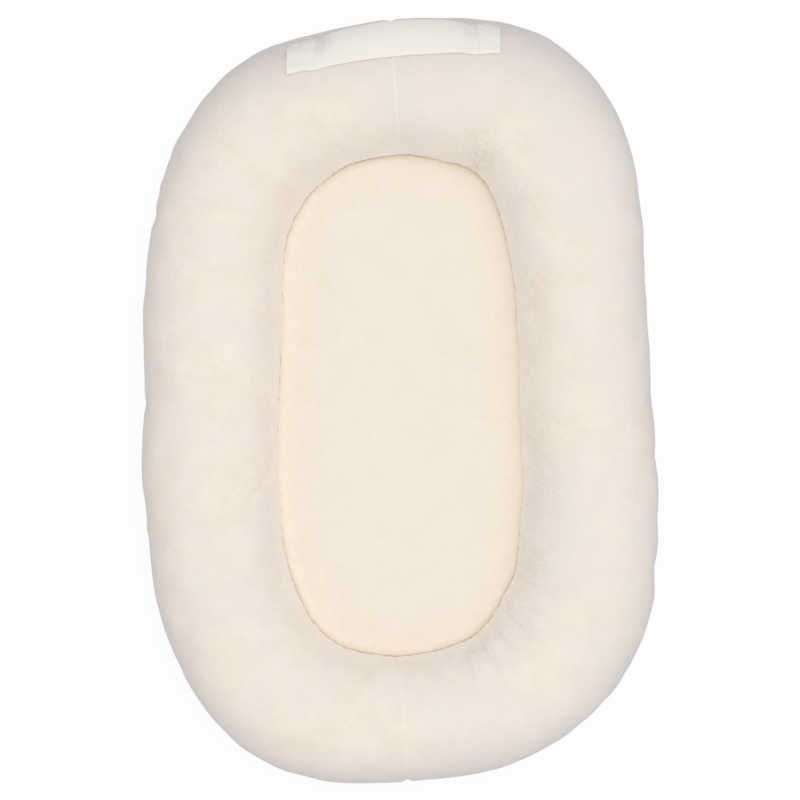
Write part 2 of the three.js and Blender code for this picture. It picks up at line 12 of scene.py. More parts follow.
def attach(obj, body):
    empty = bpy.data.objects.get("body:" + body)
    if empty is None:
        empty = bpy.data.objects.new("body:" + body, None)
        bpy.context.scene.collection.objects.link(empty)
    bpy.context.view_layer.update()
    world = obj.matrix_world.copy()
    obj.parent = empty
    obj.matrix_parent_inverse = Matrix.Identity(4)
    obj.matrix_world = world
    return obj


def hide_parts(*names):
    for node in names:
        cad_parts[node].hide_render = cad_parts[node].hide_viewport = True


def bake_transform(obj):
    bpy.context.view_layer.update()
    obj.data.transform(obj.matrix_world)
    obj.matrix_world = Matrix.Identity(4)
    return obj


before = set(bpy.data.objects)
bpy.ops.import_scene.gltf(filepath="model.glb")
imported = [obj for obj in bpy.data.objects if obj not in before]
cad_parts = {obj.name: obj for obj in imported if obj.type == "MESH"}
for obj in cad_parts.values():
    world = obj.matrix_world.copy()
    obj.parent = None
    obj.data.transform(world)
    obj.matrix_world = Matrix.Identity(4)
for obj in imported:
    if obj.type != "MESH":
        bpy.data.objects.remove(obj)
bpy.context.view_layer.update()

MM = 0.001
FULL_TURN = 2 * math.pi

# Stuffed form, close to the frame's own
OVERALL_LENGTH = 768 * MM
OVERALL_WIDTH = 518 * MM
BOLSTER_WIDTH = 136 * MM
BOLSTER_HEIGHT = 130 * MM
EQUATOR_HEIGHT = 0.46 * BOLSTER_HEIGHT
FLOOR_FLAT_DEPTH = 0.5 * MM
PLAN_ROUNDNESS = 3.1
CROWN_ROUNDNESS = 2.1
SEAT_ROUNDNESS = 3.0
# How far the centre line's reach and the half width differ from a plain oval's, as shares at even
# angles anticlockwise from +X, fitted to the photographed outline and groove
REACH_SHARES = (
    -0.031, -0.037, -0.043, -0.042, -0.031, -0.010, -0.002, -0.013,
    -0.010, -0.030, -0.034, -0.019, -0.006, -0.009, -0.014, -0.020,
    -0.015, -0.006, 0.000, -0.007, -0.006, -0.010, -0.002, 0.007,
    0.010, -0.008, -0.012, 0.008, 0.032, 0.006, -0.001, -0.013,
)
GIRTH_SHARES = (
    -0.036, -0.044, -0.042, -0.030, 0.012, 0.082, 0.118, 0.064,
    -0.014, -0.022, 0.043, 0.028, -0.008, -0.001, 0.019, -0.001,
    -0.014, -0.015, -0.006, -0.025, -0.009, 0.008, 0.022, -0.015,
    -0.077, -0.060, -0.014, 0.049, 0.034, -0.002, -0.023, -0.022,
)
HEAD_SEAM_OFFSET = 5 * MM
FOOT_SEAM_OFFSET = 4 * MM
MAT_SEAM_HEIGHT = 42 * MM
BASE_SEAM_HEIGHT = 13 * MM
BASE_CLEARANCE = 8.6 * MM
COVER_THICKNESS = 3 * MM
LINER_THICKNESS = 0.8 * MM
BASE_THICKNESS = 1.2 * MM
LAYER_GAP = 0.3 * MM
SEAM_GAP = 0.3 * MM

# Carry handle and zip, close to the frame's own
WEBBING_WIDTH = 38 * MM
WEBBING_THICKNESS = 2.2 * MM
FOLDED_END_THICKNESS = 3.2 * MM
HANDLE_LEFT_REACH = 113 * MM
HANDLE_RIGHT_REACH = 100 * MM
LEFT_FOLD, RIGHT_FOLD = 26 * MM, 22 * MM
FREE_LEFT = -HANDLE_LEFT_REACH + LEFT_FOLD
FREE_RIGHT = HANDLE_RIGHT_REACH - RIGHT_FOLD
HANDLE_INSETS = (35.2 * MM, 39.4 * MM, 33.4 * MM)  # from the outer edge, at left, middle, right
HANDLE_SLACK = 13.8 * MM
FOLD_SLANT = 0.12
HANDLE_CLEARANCE = 0.25 * MM
HANDLE_Y = 360 * MM
LIFT_ANGLE = math.radians(55)
LIFT_DIRECTION = np.array([0, math.cos(LIFT_ANGLE), math.sin(LIFT_ANGLE)])
SLOT_HALF_WIDTH = 6 * MM
SLOT_HALF_LENGTH = 216.4 * MM

LINE_HALF_WIDTH = (OVERALL_WIDTH - BOLSTER_WIDTH) / 2
LINE_HALF_LENGTH = (OVERALL_LENGTH - BOLSTER_WIDTH) / 2


# The bolster's centre line and section


def swelling(shares, angles):
    """A share that swells and shrinks smoothly round the oval, through shares at even angles."""
    values = np.array(shares)
    place = (np.asarray(angles) / FULL_TURN % 1) * len(values)
    index = np.floor(place).astype(int)
    four = [values[(index + step) % len(values)] for step in (-1, 0, 1, 2)]
    return catmull_rom(four, place - index)


def catmull_rom(four, t):
    """A smooth curve between the middle two of four values."""
    before, first, second, after = four
    slope_in, slope_out = (second - before) / 2, (after - first) / 2
    cubic = 2 * first - 2 * second + slope_in + slope_out
    square = -3 * first + 3 * second - 2 * slope_in - slope_out
    return cubic * t**3 + square * t**2 + slope_in * t + first


def field_at(field, u, v):
    """A field's values at places given in cells along its first two axes, smooth both ways; past
    its ends it starts again."""
    i, j = np.floor(u).astype(int), np.floor(v).astype(int)
    s, t = (u - i)[:, None], (v - j)[:, None]
    rows, columns, _ = field.shape
    steps = (-1, 0, 1, 2)
    across = [
        catmull_rom([field[(i + a) % rows, (j + b) % columns] for b in steps], t) for a in steps
    ]
    return catmull_rom(across, s)


def runs(across, up):
    """How far along a line of points each of them lies."""
    return np.concatenate([[0], np.cumsum(np.hypot(np.diff(across), np.diff(up)))])


class Ring:
    """The bolster's centre line in plan, by share of its length, anticlockwise from the head."""

    samples = 2880

    def __init__(self):
        head = math.pi / 2 + math.asin(HEAD_SEAM_OFFSET / LINE_HALF_LENGTH)
        foot = 3 * math.pi / 2 + math.asin(FOOT_SEAM_OFFSET / LINE_HALF_LENGTH)
        angle = head + np.linspace(0, FULL_TURN, self.samples + 1)
        across = (np.abs(np.cos(angle)) / LINE_HALF_WIDTH) ** PLAN_ROUNDNESS
        along = (np.abs(np.sin(angle)) / LINE_HALF_LENGTH) ** PLAN_ROUNDNESS
        radius = (1 + swelling(REACH_SHARES, angle)) / (across + along) ** (1 / PLAN_ROUNDNESS)
        self.x = radius * np.cos(angle)
        self.y = radius * np.sin(angle)
        run = runs(self.x, self.y)
        self.length = run[-1]
        self.share = run / self.length
        self.half_width = BOLSTER_WIDTH / 2 * (1 + swelling(GIRTH_SHARES, angle))
        tangent_x = np.gradient(np.r_[self.x[-2], self.x, self.x[1]])[1:-1]
        tangent_y = np.gradient(np.r_[self.y[-2], self.y, self.y[1]])[1:-1]
        size = np.hypot(tangent_x, tangent_y)
        self.out_x, self.out_y = tangent_y / size, -tangent_x / size
        self.foot_share = float(np.interp(foot, angle, self.share))

    def at(self, share):
        """Arrays of x, y, outward x, outward y and half width at shares of the length."""
        inside = np.asarray(share) % 1
        columns = (self.x, self.y, self.out_x, self.out_y, self.half_width)
        return [np.interp(inside, self.share, column) for column in columns]

    def out_from(self, x, y):
        """For places near the head: how far out from the line, the half width and the share."""
        near = np.flatnonzero((self.y > 200 * MM) & (np.abs(self.x) < 160 * MM))
        apart = np.hypot(x[..., None] - self.x[near], y[..., None] - self.y[near])
        nearest = near[apart.argmin(-1)]
        from_x, from_y = x - self.x[nearest], y - self.y[nearest]
        side = from_x * self.out_x[nearest] + from_y * self.out_y[nearest]
        return np.sign(side) * apart.min(-1), self.half_width[nearest], self.share[nearest]


RING = Ring()


def section(turn, half_width, inset=0.0):
    """Points of the bolster's section, out from the centre line and up from the floor."""
    over, up = np.cos(turn), np.sin(turn)
    power = np.where(up >= 0, 2 / CROWN_ROUNDNESS, 2 / SEAT_ROUNDNESS)
    rise = np.where(up >= 0, BOLSTER_HEIGHT - EQUATOR_HEIGHT, EQUATOR_HEIGHT + FLOOR_FLAT_DEPTH)
    out = np.sign(over) * (half_width - inset) * np.abs(over) ** power
    height = EQUATOR_HEIGHT + np.sign(up) * (rise - inset) * np.abs(up) ** power
    return out, np.maximum(height, inset)


class Girth:
    """The section's skin, by turn and by share of its girth, from the outer edge over the crown."""

    samples = 7200

    def __init__(self):
        self.turns = np.linspace(0, FULL_TURN, self.samples + 1)
        out, height = section(self.turns, BOLSTER_WIDTH / 2)
        run = runs(out, height)
        self.length = run[-1]
        self.share = run / self.length

    def turn(self, share):
        return np.interp(np.asarray(share) % 1, self.share, self.turns)

    def share_of(self, turn):
        return np.interp(turn, self.turns, self.share)

    def share_at(self, turn):
        return float(self.share_of(turn % FULL_TURN))


GIRTH = Girth()


def turn_down_to(height):
    """How far below the widest level, as a turn, the section's skin reaches a height."""
    share = (EQUATOR_HEIGHT - height) / (EQUATOR_HEIGHT + FLOOR_FLAT_DEPTH)
    return math.asin(share ** (SEAT_ROUNDNESS / 2))


MAT_SEAM_SHARE = GIRTH.share_at(math.pi + turn_down_to(MAT_SEAM_HEIGHT))
BASE_SEAM_SHARE = GIRTH.share_at(FULL_TURN - turn_down_to(BASE_SEAM_HEIGHT))
BASE_MIDDLE_SHARE = GIRTH.share_at(math.pi + turn_down_to(BASE_CLEARANCE))


def smooth(values, low, high):
    """0 below low, 1 above high and smooth between."""
    t = np.clip((np.asarray(values) - low) / (high - low), 0, 1)
    return t * t * (3 - 2 * t)


def swell(values, middle, half):
    """1 at the middle, falling smoothly to 0 at half away."""
    return 1 - smooth(np.abs(np.asarray(values) - middle), 0, half)


def noise_at(*axes, scales, offset):
    """Perlin noise at places on two or three axes. The scales are the sizes of its lumps in
    metres, one for each axis or one for all."""
    points = np.full((len(axes[0]), 3), float(offset))
    for column, (axis, scale) in enumerate(zip(axes, np.broadcast_to(scales, len(axes)))):
        points[:, column] += axis / scale
    return np.fromiter((noise.noise(point) for point in points.tolist()), float, len(points))


# Mesh helpers


SHARP_ANGLE = math.radians(65)


def in_scene(name, data):
    """An object that holds the data, in the scene."""
    made = bpy.data.objects.new(name, data)
    bpy.context.scene.collection.objects.link(made)
    return made


def coordinates(mesh):
    flat = np.empty(len(mesh.vertices) * 3)
    mesh.vertices.foreach_get("co", flat)
    return flat.reshape(-1, 3)


def set_coordinates(mesh, points):
    mesh.vertices.foreach_set("co", np.ascontiguousarray(points, dtype=float).reshape(-1))
    mesh.update()


def set_share(mesh, name, values):
    """A number per point that a material reads."""
    attribute = mesh.attributes.new(name, "FLOAT", "POINT")
    attribute.data.foreach_set("value", np.asarray(values, dtype=float))


def set_cloth_map(mesh, u, v):
    """A UV map in metres of cloth."""
    corners = np.empty(len(mesh.loops), dtype=int)
    mesh.loops.foreach_get("vertex_index", corners)
    layer = mesh.uv_layers.new(name="cloth")
    layer.data.foreach_set("uv", np.stack([u[corners], v[corners]], -1).reshape(-1))


def square_block(columns, rows):
    """A block of square cells from -1 to 1 both ways and from 0 to 1 in height."""
    bm = bmesh.new()
    bmesh.ops.create_grid(bm, x_segments=columns, y_segments=rows, size=1.0)
    made = bmesh.ops.extrude_face_region(bm, geom=bm.faces[:])
    raised = [item for item in made["geom"] if isinstance(item, bmesh.types.BMVert)]
    bmesh.ops.translate(bm, verts=raised, vec=(0, 0, 1))
    return bm


def finish_mesh(bm, name):
    """A smooth-shaded mesh from a bmesh, with its faces turned outwards."""
    bmesh.ops.recalc_face_normals(bm, faces=bm.faces)
    mesh = bpy.data.meshes.new(name)
    bm.to_mesh(mesh)
    bm.free()
    mesh.shade_smooth()
    return mesh


def turn_out(mesh):
    """Turns the faces outwards once the points are in their places."""
    bm = bmesh.new()
    bm.from_mesh(mesh)
    bmesh.ops.recalc_face_normals(bm, faces=bm.faces)
    bm.to_mesh(mesh)
    bm.free()
    mesh.set_sharp_from_angle(angle=SHARP_ANGLE)


def add_piece(name, mesh, finish, stands_for=(), blend=None):
    """An object for the mesh, on the root, or unattached with its place baked into the mesh when it
    has a blend, standing for CAD nodes.
    """
    turn_out(mesh)
    piece = in_scene(name, mesh)
    mesh.materials.append(finish)
    if blend:
        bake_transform(piece)
    else:
        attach(piece, "root")
    if stands_for:
        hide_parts(*stands_for)
    return piece


# Shader helpers


class Value:
    """A shader socket that adds Math nodes when it is used in an expression."""

    def __init__(self, nodes, socket):
        self.nodes = nodes
        self.socket = socket

    def math(self, operation, *others, first=None):
        made = self.nodes.tree.nodes.new("ShaderNodeMath")
        made.operation = operation
        operands = (first, self) if first is not None else (self, *others)
        for socket, operand in zip(made.inputs, operands):
            self.nodes.feed(socket, operand)
        return Value(self.nodes, made.outputs[0])

    def __add__(self, other):
        return self.math("ADD", other)

    def __sub__(self, other):
        return self.math("SUBTRACT", other)

    def __rsub__(self, other):
        return self.math("SUBTRACT", first=other)

    def __mul__(self, other):
        return self.math("MULTIPLY", other)

    def __truediv__(self, other):
        return self.math("DIVIDE", other)

    __radd__, __rmul__ = __add__, __mul__

    def clamped(self):
        return self.math("MINIMUM", 1.0).math("MAXIMUM", 0.0)


class Nodes:
    """The nodes of a material or of the sky, all but the Math ones made by one method."""

    def __init__(self, tree):
        self.tree = tree

    def feed(self, socket, value):
        if isinstance(value, Value):
            self.tree.links.new(value.socket, socket)
        else:
            socket.default_value = value

    def node(self, kind, settings=None, inputs=None, output=0):
        """A node of a type, its settings, and the values or links of its sockets."""
        made = self.tree.nodes.new(kind)
        for name, setting in (settings or {}).items():
            setattr(made, name, setting)
        for name, value in (inputs or {}).items():
            self.feed(made.inputs[name], value)
        return Value(self, made.outputs[output])

    def shown_rays(self):
        """1 for rays from the camera, and for what gloss and glass show."""
        kinds = ("Is Camera Ray", "Is Glossy Ray", "Is Transmission Ray")
        camera, glossy, through = [self.node("ShaderNodeLightPath", output=kind) for kind in kinds]
        return (camera + glossy + through).clamped()


class Finish(Nodes):
    """A material with a Principled shader, and the patterns that finishes are made of."""

    def __init__(self, name, **constants):
        self.material = bpy.data.materials.new(name)
        self.material.use_nodes = True
        super().__init__(self.material.node_tree)
        self.shader = self.tree.nodes["Principled BSDF"]
        for socket, value in constants.items():
            self.shader.inputs[socket.replace("_", " ")].default_value = value

    def points(self):
        return self.node("ShaderNodeTexCoord", output="Object")

    def noise(self, points, scale, detail=2.0, roughness=0.6):
        inputs = {"Vector": points, "Scale": scale, "Detail": detail, "Roughness": roughness}
        return self.node("ShaderNodeTexNoise", inputs=inputs)

    def stretched(self, points, scales):
        """Points scaled on each axis; a scale under 1 draws a pattern out along that axis."""
        return self.node("ShaderNodeMapping", inputs={"Vector": points, "Scale": scales})

    def share(self, name):
        """A number that the mesh holds per point."""
        return self.node("ShaderNodeAttribute", {"attribute_name": name}, output="Fac")

    def axes(self, vector):
        parts = self.node("ShaderNodeSeparateXYZ", inputs={0: vector}).socket.node
        return [Value(self, socket) for socket in parts.outputs]

    def mix(self, factor, first, second):
        """A colour between two. The Mix node's colour sockets share their names with others, so
        they go by number."""
        inputs = {0: factor, 6: first, 7: second}
        return self.node("ShaderNodeMix", {"data_type": "RGBA"}, inputs, output=2)

    def bump(self, height, distance, under=None):
        inputs = {"Height": height, "Distance": distance}
        if under is not None:
            inputs["Normal"] = under
        return self.node("ShaderNodeBump", inputs=inputs)

    def cover(self, tone, roughness, relief):
        """The material, with its colour, its roughness and the normal of its relief."""
        sockets = {"Base Color": tone, "Roughness": roughness, "Normal": relief}
        for socket, value in sockets.items():
            self.feed(self.shader.inputs[socket], value)
        return self.material


def colour(red, green, blue):
    """A shader colour from its display values, 0 to 255."""
    shares = [v / 255 for v in (red, green, blue)]
    return (*[s / 12.92 if s <= 0.04045 else ((s + 0.055) / 1.055) ** 2.4 for s in shares], 1.0)


def darker(tint, share):
    return (*[share * part for part in tint[:3]], 1.0)


# Finishes


def plush_finish(name, warm, pale, rosy, ashen, painted_light_tone):
    """Short plush: a soft mottle where the pile lies differently, fine tufts, ruffled pile where
    it is crinkled with painted shade in its partings and painted light on its tufts, seams paler
    where the pile lies flat and partly painted light, painted light in the groove against its
    shade, a darker, cooler painted shade on slopes seen at a grazing angle, and a painted shade on
    slopes that face the head."""
    finish = Finish(
        name, Sheen_Weight=0.22, Sheen_Roughness=0.4, Sheen_Tint=colour(236, 240, 255),
        Specular_IOR_Level=0.1,
    )
    points = finish.points()
    patches = finish.noise(points, scale=30.0, detail=4.0)
    blush = finish.noise(points, scale=16.0, detail=3.0)
    haze = finish.noise(points, scale=11.0, detail=4.0, roughness=0.65)
    tufts = finish.noise(points, scale=560.0)
    strokes = finish.noise(points, scale=150.0, detail=3.0)
    lay = (patches - 0.5) * 1.5 + (strokes - 0.5) * 0.6 + (tufts - 0.5) * 0.4 + 0.5
    tone = finish.mix(lay.clamped(), warm, pale)
    tone = finish.mix(((blush - 0.5) * 4.0 + 0.3).clamped() * 0.6, tone, rosy)
    across, _, _ = finish.axes(points)
    tone = finish.mix(((haze - 0.5) * 5.0 + across * 1.5 + 0.2).clamped() * 0.6, tone, ashen)
    stretched = finish.stretched(points, (0.38, 1.0, 0.7))
    ruffle = (finish.noise(stretched, scale=430.0, detail=3.0) - 0.5) * finish.share("crinkled")
    # Ruffled pile: painted shade where the relief dips into the partings, painted light on the
    # raised tufts
    tone = finish.mix((ruffle * 1.8).clamped(), tone, darker(warm, 0.84))
    tone = finish.mix((ruffle * -1.8).clamped(), tone, pale)
    seam = finish.share("seam")
    # Painted shade: darker and cooler where the surface is seen at a grazing angle, kept off the
    # seams and groove
    painted_grazing_shade = finish.node("ShaderNodeLayerWeight", inputs={"Blend": 0.5}, output="Facing")
    outside = (1.0 - seam * 3.0).clamped()
    tone = finish.mix(painted_grazing_shade.math("POWER", 1.8) * outside * 0.5, tone, colour(222, 220, 224))
    # Painted shade on slopes that face the head and towards the head end
    tone = finish.mix(finish.share("painted_head_shade") * 0.45, tone, colour(210, 205, 201))
    # Painted light along the seams, in the groove and round the mat's rim, against the shade there;
    # at the cross seams partly the flat pile's own paler tone
    tone = finish.mix(seam, tone, painted_light_tone)
    pile = finish.bump(tufts, distance=0.4 * MM)
    combed = finish.bump(strokes, distance=0.6 * MM, under=pile)
    ruffled = finish.bump(0.5 - ruffle, distance=1.6 * MM, under=combed)
    return finish.cover(tone, 0.84 + patches * 0.14, ruffled)


def cloth_finish(name, pale, deep, thread):
    """Plain woven cloth: threads over and under in both directions, with uneven yarn."""
    finish = Finish(name, Sheen_Weight=0.1, Specular_IOR_Level=0.2)
    points = finish.points()
    x, y, _ = finish.axes(points)
    pitch = FULL_TURN / (2 * thread)
    weave = (x * pitch).math("SINE") * (y * pitch).math("SINE")
    slubs = finish.noise(points, scale=170.0, detail=4.0, roughness=0.65)
    tone = finish.mix((slubs * 0.8 + weave * 0.25 + 0.1).clamped(), deep, pale)
    relief = finish.bump(weave * 0.7 + slubs * 0.5, 0.16 * MM)
    return finish.cover(tone, 0.82 + slubs * 0.15, relief)


def webbing_finish(name, pale, deep, warm, painted_edge_shade, painted_fold_shade, rib):
    """Twilled webbing: slanting ribs along the band, from its own cloth map; a warm painted
    reflection along its inner edge, a cooler painted shade towards the outer edge and a painted
    shade beside its folds."""
    finish = Finish(name, Sheen_Weight=0.15, Specular_IOR_Level=0.2)
    along, across, _ = finish.axes(finish.node("ShaderNodeUVMap", {"uv_map": "cloth"}))
    ribs = ((along + across) * (FULL_TURN / rib)).math("SINE")
    threads = (across * (2 * FULL_TURN / rib)).math("SINE")
    fibres = finish.noise(finish.points(), scale=380.0, detail=4.0, roughness=0.65)
    tone = finish.mix((fibres * 0.9 + ribs * 0.1).clamped(), deep, pale)
    outward = across / WEBBING_WIDTH
    # Painted shade, cooler, towards the outer edge, where the band turns away
    tone = finish.mix((outward * 1.3 - 0.45).clamped() * 0.8, tone, painted_edge_shade)
    # A warm painted reflection of the plush along the inner edge
    tone = finish.mix((1.0 - outward * 6.0).clamped() * 0.7, tone, warm)
    # Painted shade beside the folds
    tone = finish.mix(finish.share("fold_shade_share") * 0.7, tone, painted_fold_shade)
    relief = finish.bump(ribs * 0.6 + threads * 0.3 + fibres * 0.5, 0.16 * MM)
    return finish.cover(tone, 0.78 + fibres * 0.18, relief)


def resin_finish(name, tint):
    """Moulded resin: nearly smooth, with faint flow marks."""
    finish = Finish(name, Specular_IOR_Level=0.5)
    flow = finish.noise(finish.points(), scale=300.0, roughness=0.5)
    tone = finish.mix(flow, tint, darker(tint, 0.92))
    return finish.cover(tone, 0.32 + flow * 0.16, finish.bump(flow, 0.05 * MM))


def metal_finish(name, tint):
    """Satin nickel plate, handled to a soft shine with fine scratches."""
    finish = Finish(name, Metallic=1.0)
    points = finish.points()
    scratches = finish.noise(finish.stretched(points, (1.0, 0.12, 1.0)), scale=2600.0)
    wear = finish.noise(points, scale=240.0, roughness=0.5)
    tone = finish.mix(wear, tint, darker(tint, 0.88))
    return finish.cover(tone, 0.24 + wear * 0.14, finish.bump(scratches, 0.03 * MM))


def wadding_finish(name, tint):
    """Loose white fibre."""
    finish = Finish(name, Sheen_Weight=0.3, Specular_IOR_Level=0.1)
    fibres = finish.noise(finish.points(), scale=220.0, detail=6.0, roughness=0.7)
    tone = finish.mix(fibres, tint, darker(tint, 0.9))
    return finish.cover(tone, 0.9 + fibres * 0.1, finish.bump(fibres, 1.5 * MM))


PLUSH = plush_finish(
    "plush_cream", warm=colour(241, 227, 212), pale=colour(250, 241, 230),
    rosy=colour(244, 231, 226), ashen=colour(238, 232, 224), painted_light_tone=colour(255, 247, 237),
)
MAT_PLUSH = plush_finish(
    "plush_mat", warm=colour(242, 231, 217), pale=colour(249, 240, 229),
    rosy=colour(246, 234, 224), ashen=colour(244, 236, 223), painted_light_tone=colour(249, 240, 228),
)
LINING = cloth_finish(
    "lining_cloth", pale=colour(246, 243, 238), deep=colour(232, 228, 220), thread=0.5 * MM,
)
BASE_CLOTH = cloth_finish(
    "base_cloth", pale=colour(240, 233, 222), deep=colour(226, 217, 202), thread=0.8 * MM,
)
WEBBING = webbing_finish(
    "webbing_twill", pale=colour(255, 253, 247), deep=colour(247, 243, 235),
    warm=colour(255, 250, 237), painted_edge_shade=colour(232, 229, 224), painted_fold_shade=colour(222, 219, 217),
    rib=1.4 * MM,
)
TAPE = cloth_finish(
    "zip_tape_cloth", pale=colour(238, 232, 223), deep=colour(222, 215, 203), thread=0.6 * MM,
)
THREAD = cloth_finish(
    "sewing_thread", pale=colour(250, 247, 240), deep=colour(236, 231, 221), thread=0.3 * MM,
)
RESIN = resin_finish("zip_resin_cream", colour(234, 228, 215))
NICKEL = metal_finish("zip_nickel", colour(205, 203, 198))
WADDING = wadding_finish("fibre_stuffing", colour(250, 248, 244))


# Camera, floor and light


def make_camera():
    """A long lens straight above, so that one photo pixel is one millimetre at the widest level."""
    distance = 8.0
    far_limit = 40.0
    sensor = 36.0
    view_width = 800 * MM
    data = bpy.data.cameras.new("camera")
    data.sensor_width = sensor
    data.lens = sensor * distance / view_width
    data.clip_end = far_limit
    camera = in_scene("camera", data)
    camera.location = (0, 0, distance + EQUATOR_HEIGHT)
    bpy.context.scene.camera = camera


def make_floor():
    """A pale floor that shows almost white and keeps a soft shadow."""
    bm = bmesh.new()
    half_side = 6.0
    bmesh.ops.create_grid(bm, x_segments=1, y_segments=1, size=half_side)
    mesh = finish_mesh(bm, "floor")
    clearance = 0.2 * MM
    mesh.transform(Matrix.Translation((0, 0, -clearance)))
    floor = in_scene("floor", mesh)
    bounce_colour = (0.60, 0.61, 0.64, 1.0)
    finish = Finish("floor", Base_Color=bounce_colour, Roughness=1.0, Specular_IOR_Level=0.0)
    bounced = Value(finish, finish.shader.outputs[0])

    # The camera sees its own white for the most part, and a share that light and shadow reach
    lit_share = 0.12
    light_on_floor = 0.93
    grey = (lit_share, lit_share, lit_share, 1.0)
    pale = finish.node("ShaderNodeBsdfDiffuse", inputs={"Color": grey})
    white = {"Color": (1, 1, 1, 1), "Strength": 1.0 - light_on_floor * lit_share}
    glow = finish.node("ShaderNodeEmission", inputs=white)
    shown = finish.node("ShaderNodeAddShader", inputs={0: pale, 1: glow})
    mixed = {0: finish.shown_rays(), 1: bounced, 2: shown}
    both = finish.node("ShaderNodeMixShader", inputs=mixed)
    finish.feed(finish.tree.nodes["Material Output"].inputs["Surface"], both)
    mesh.materials.append(finish.material)


def make_light():
    """An even white sky and one broad lamp from above, a little from the head and the right."""
    world = bpy.data.worlds.new("studio")
    bpy.context.scene.world = world
    world.use_nodes = True
    sky = Nodes(world.node_tree)
    sky_strength = 0.72
    strength = sky.shown_rays() * (1.0 - sky_strength) + sky_strength
    background = sky.tree.nodes["Background"]
    sky.feed(background.inputs["Strength"], strength)
    background.inputs["Color"].default_value = (1, 1, 1, 1)

    data = bpy.data.lights.new("softbox", "SUN")
    data.energy = 0.86
    data.angle = math.radians(60)
    lamp = in_scene("softbox", data)
    lamp.rotation_euler = (math.radians(-5), math.radians(8), 0)
    bpy.context.scene.view_settings.view_transform = "Standard"


make_camera()
make_floor()
make_light()


# Bolster


TORUS_RADIUS = 3.0
SLIGHT_TURN = 1e-4


def tube(rings, rounds, angle):
    """A plain tube bent through an angle: section radius 1, bend radius TORUS_RADIUS."""
    bm = bmesh.new()
    bmesh.ops.create_circle(bm, segments=rounds, radius=1.0)
    for vert in bm.verts:
        vert.co = (TORUS_RADIUS + vert.co.x, 0, vert.co.y)
    is_closed = angle > FULL_TURN - SLIGHT_TURN
    bmesh.ops.spin(
        bm, geom=bm.verts[:] + bm.edges[:], axis=(0, 0, 1), cent=(0, 0, 0),
        steps=rings, angle=angle, use_merge=is_closed,
    )
    if not is_closed:
        ends = [edge for edge in bm.edges if edge.is_boundary]
        bmesh.ops.holes_fill(bm, edges=ends, sides=0)
    return bm


def tube_places(points, angle):
    """How far along and round the tube each of its points lies, as shares."""
    along = np.arctan2(points[:, 1], points[:, 0]) % FULL_TURN
    along = np.where(along > (angle + FULL_TURN) / 2 + SLIGHT_TURN, along - FULL_TURN, along)
    bend = np.hypot(points[:, 0], points[:, 1]) - TORUS_RADIUS
    around = np.arctan2(points[:, 2], bend) % FULL_TURN / FULL_TURN
    return np.clip(along / angle, 0, 1), np.where(around > 1 - 1e-6, 0, around)


def skin_points(ring_share, girth_share, inset=0.0):
    """Places on the bolster's smooth skin and the directions out of it."""
    x, y, out_x, out_y, half_width = RING.at(ring_share)
    turn = GIRTH.turn(girth_share)
    out, height = section(turn, half_width, inset)
    step = 1e-3
    out_next, height_next = section(turn + step, half_width, inset)
    out_last, height_last = section(turn - step, half_width, inset)
    rise, run = height_next - height_last, out_next - out_last
    size = np.hypot(rise, run) + 1e-12
    normal = np.stack([out_x * rise / size, out_y * rise / size, -run / size], -1)
    return np.stack([x + out_x * out, y + out_y * out, height], -1), normal


def seam_distance(ring_share, seam_share):
    """Metres along the ring to a cross seam, the shorter way round."""
    return np.abs((np.asarray(ring_share) - seam_share + 0.5) % 1 - 0.5) * RING.length


def blown_up(mesh, held, roomy, growth, pressure, cap):
    """How far the points of a cloth move, up to a cap, when it grows a little and is blown up from
    inside, held at its seams. The growth is a pair of shares: where it has the least room, and
    where it is roomiest."""
    piece = in_scene("cloth_trial", mesh)
    for name, weights in (("held", held), ("roomy", roomy)):
        group = piece.vertex_groups.new(name=name)
        for index in np.flatnonzero(weights > 0).tolist():
            group.add([index], float(weights[index]), "REPLACE")
    start = coordinates(mesh)
    cloth = piece.modifiers.new("cloth", "CLOTH")
    settings = cloth.settings
    settings.quality = 5
    settings.mass = 0.3
    settings.tension_stiffness = 15
    settings.compression_stiffness = 15
    settings.shear_stiffness = 5
    settings.bending_stiffness = 0.3
    settings.vertex_group_mass = "held"
    settings.vertex_group_shrink = "roomy"
    settings.shrink_min, settings.shrink_max = -growth[0], -growth[1]
    settings.use_pressure = True
    settings.uniform_pressure_force = pressure
    settings.effector_weights.gravity = 0
    last_frame = 20
    for number in range(1, last_frame + 1):
        bpy.context.scene.frame_set(number)
    trial = piece.evaluated_get(bpy.context.evaluated_depsgraph_get())
    moved = coordinates(trial.data) - start
    bpy.context.scene.frame_set(1)
    bpy.data.objects.remove(piece)
    size = np.linalg.norm(moved, axis=1, keepdims=True)
    return moved * np.minimum(1, cap / np.maximum(size, 1e-9))


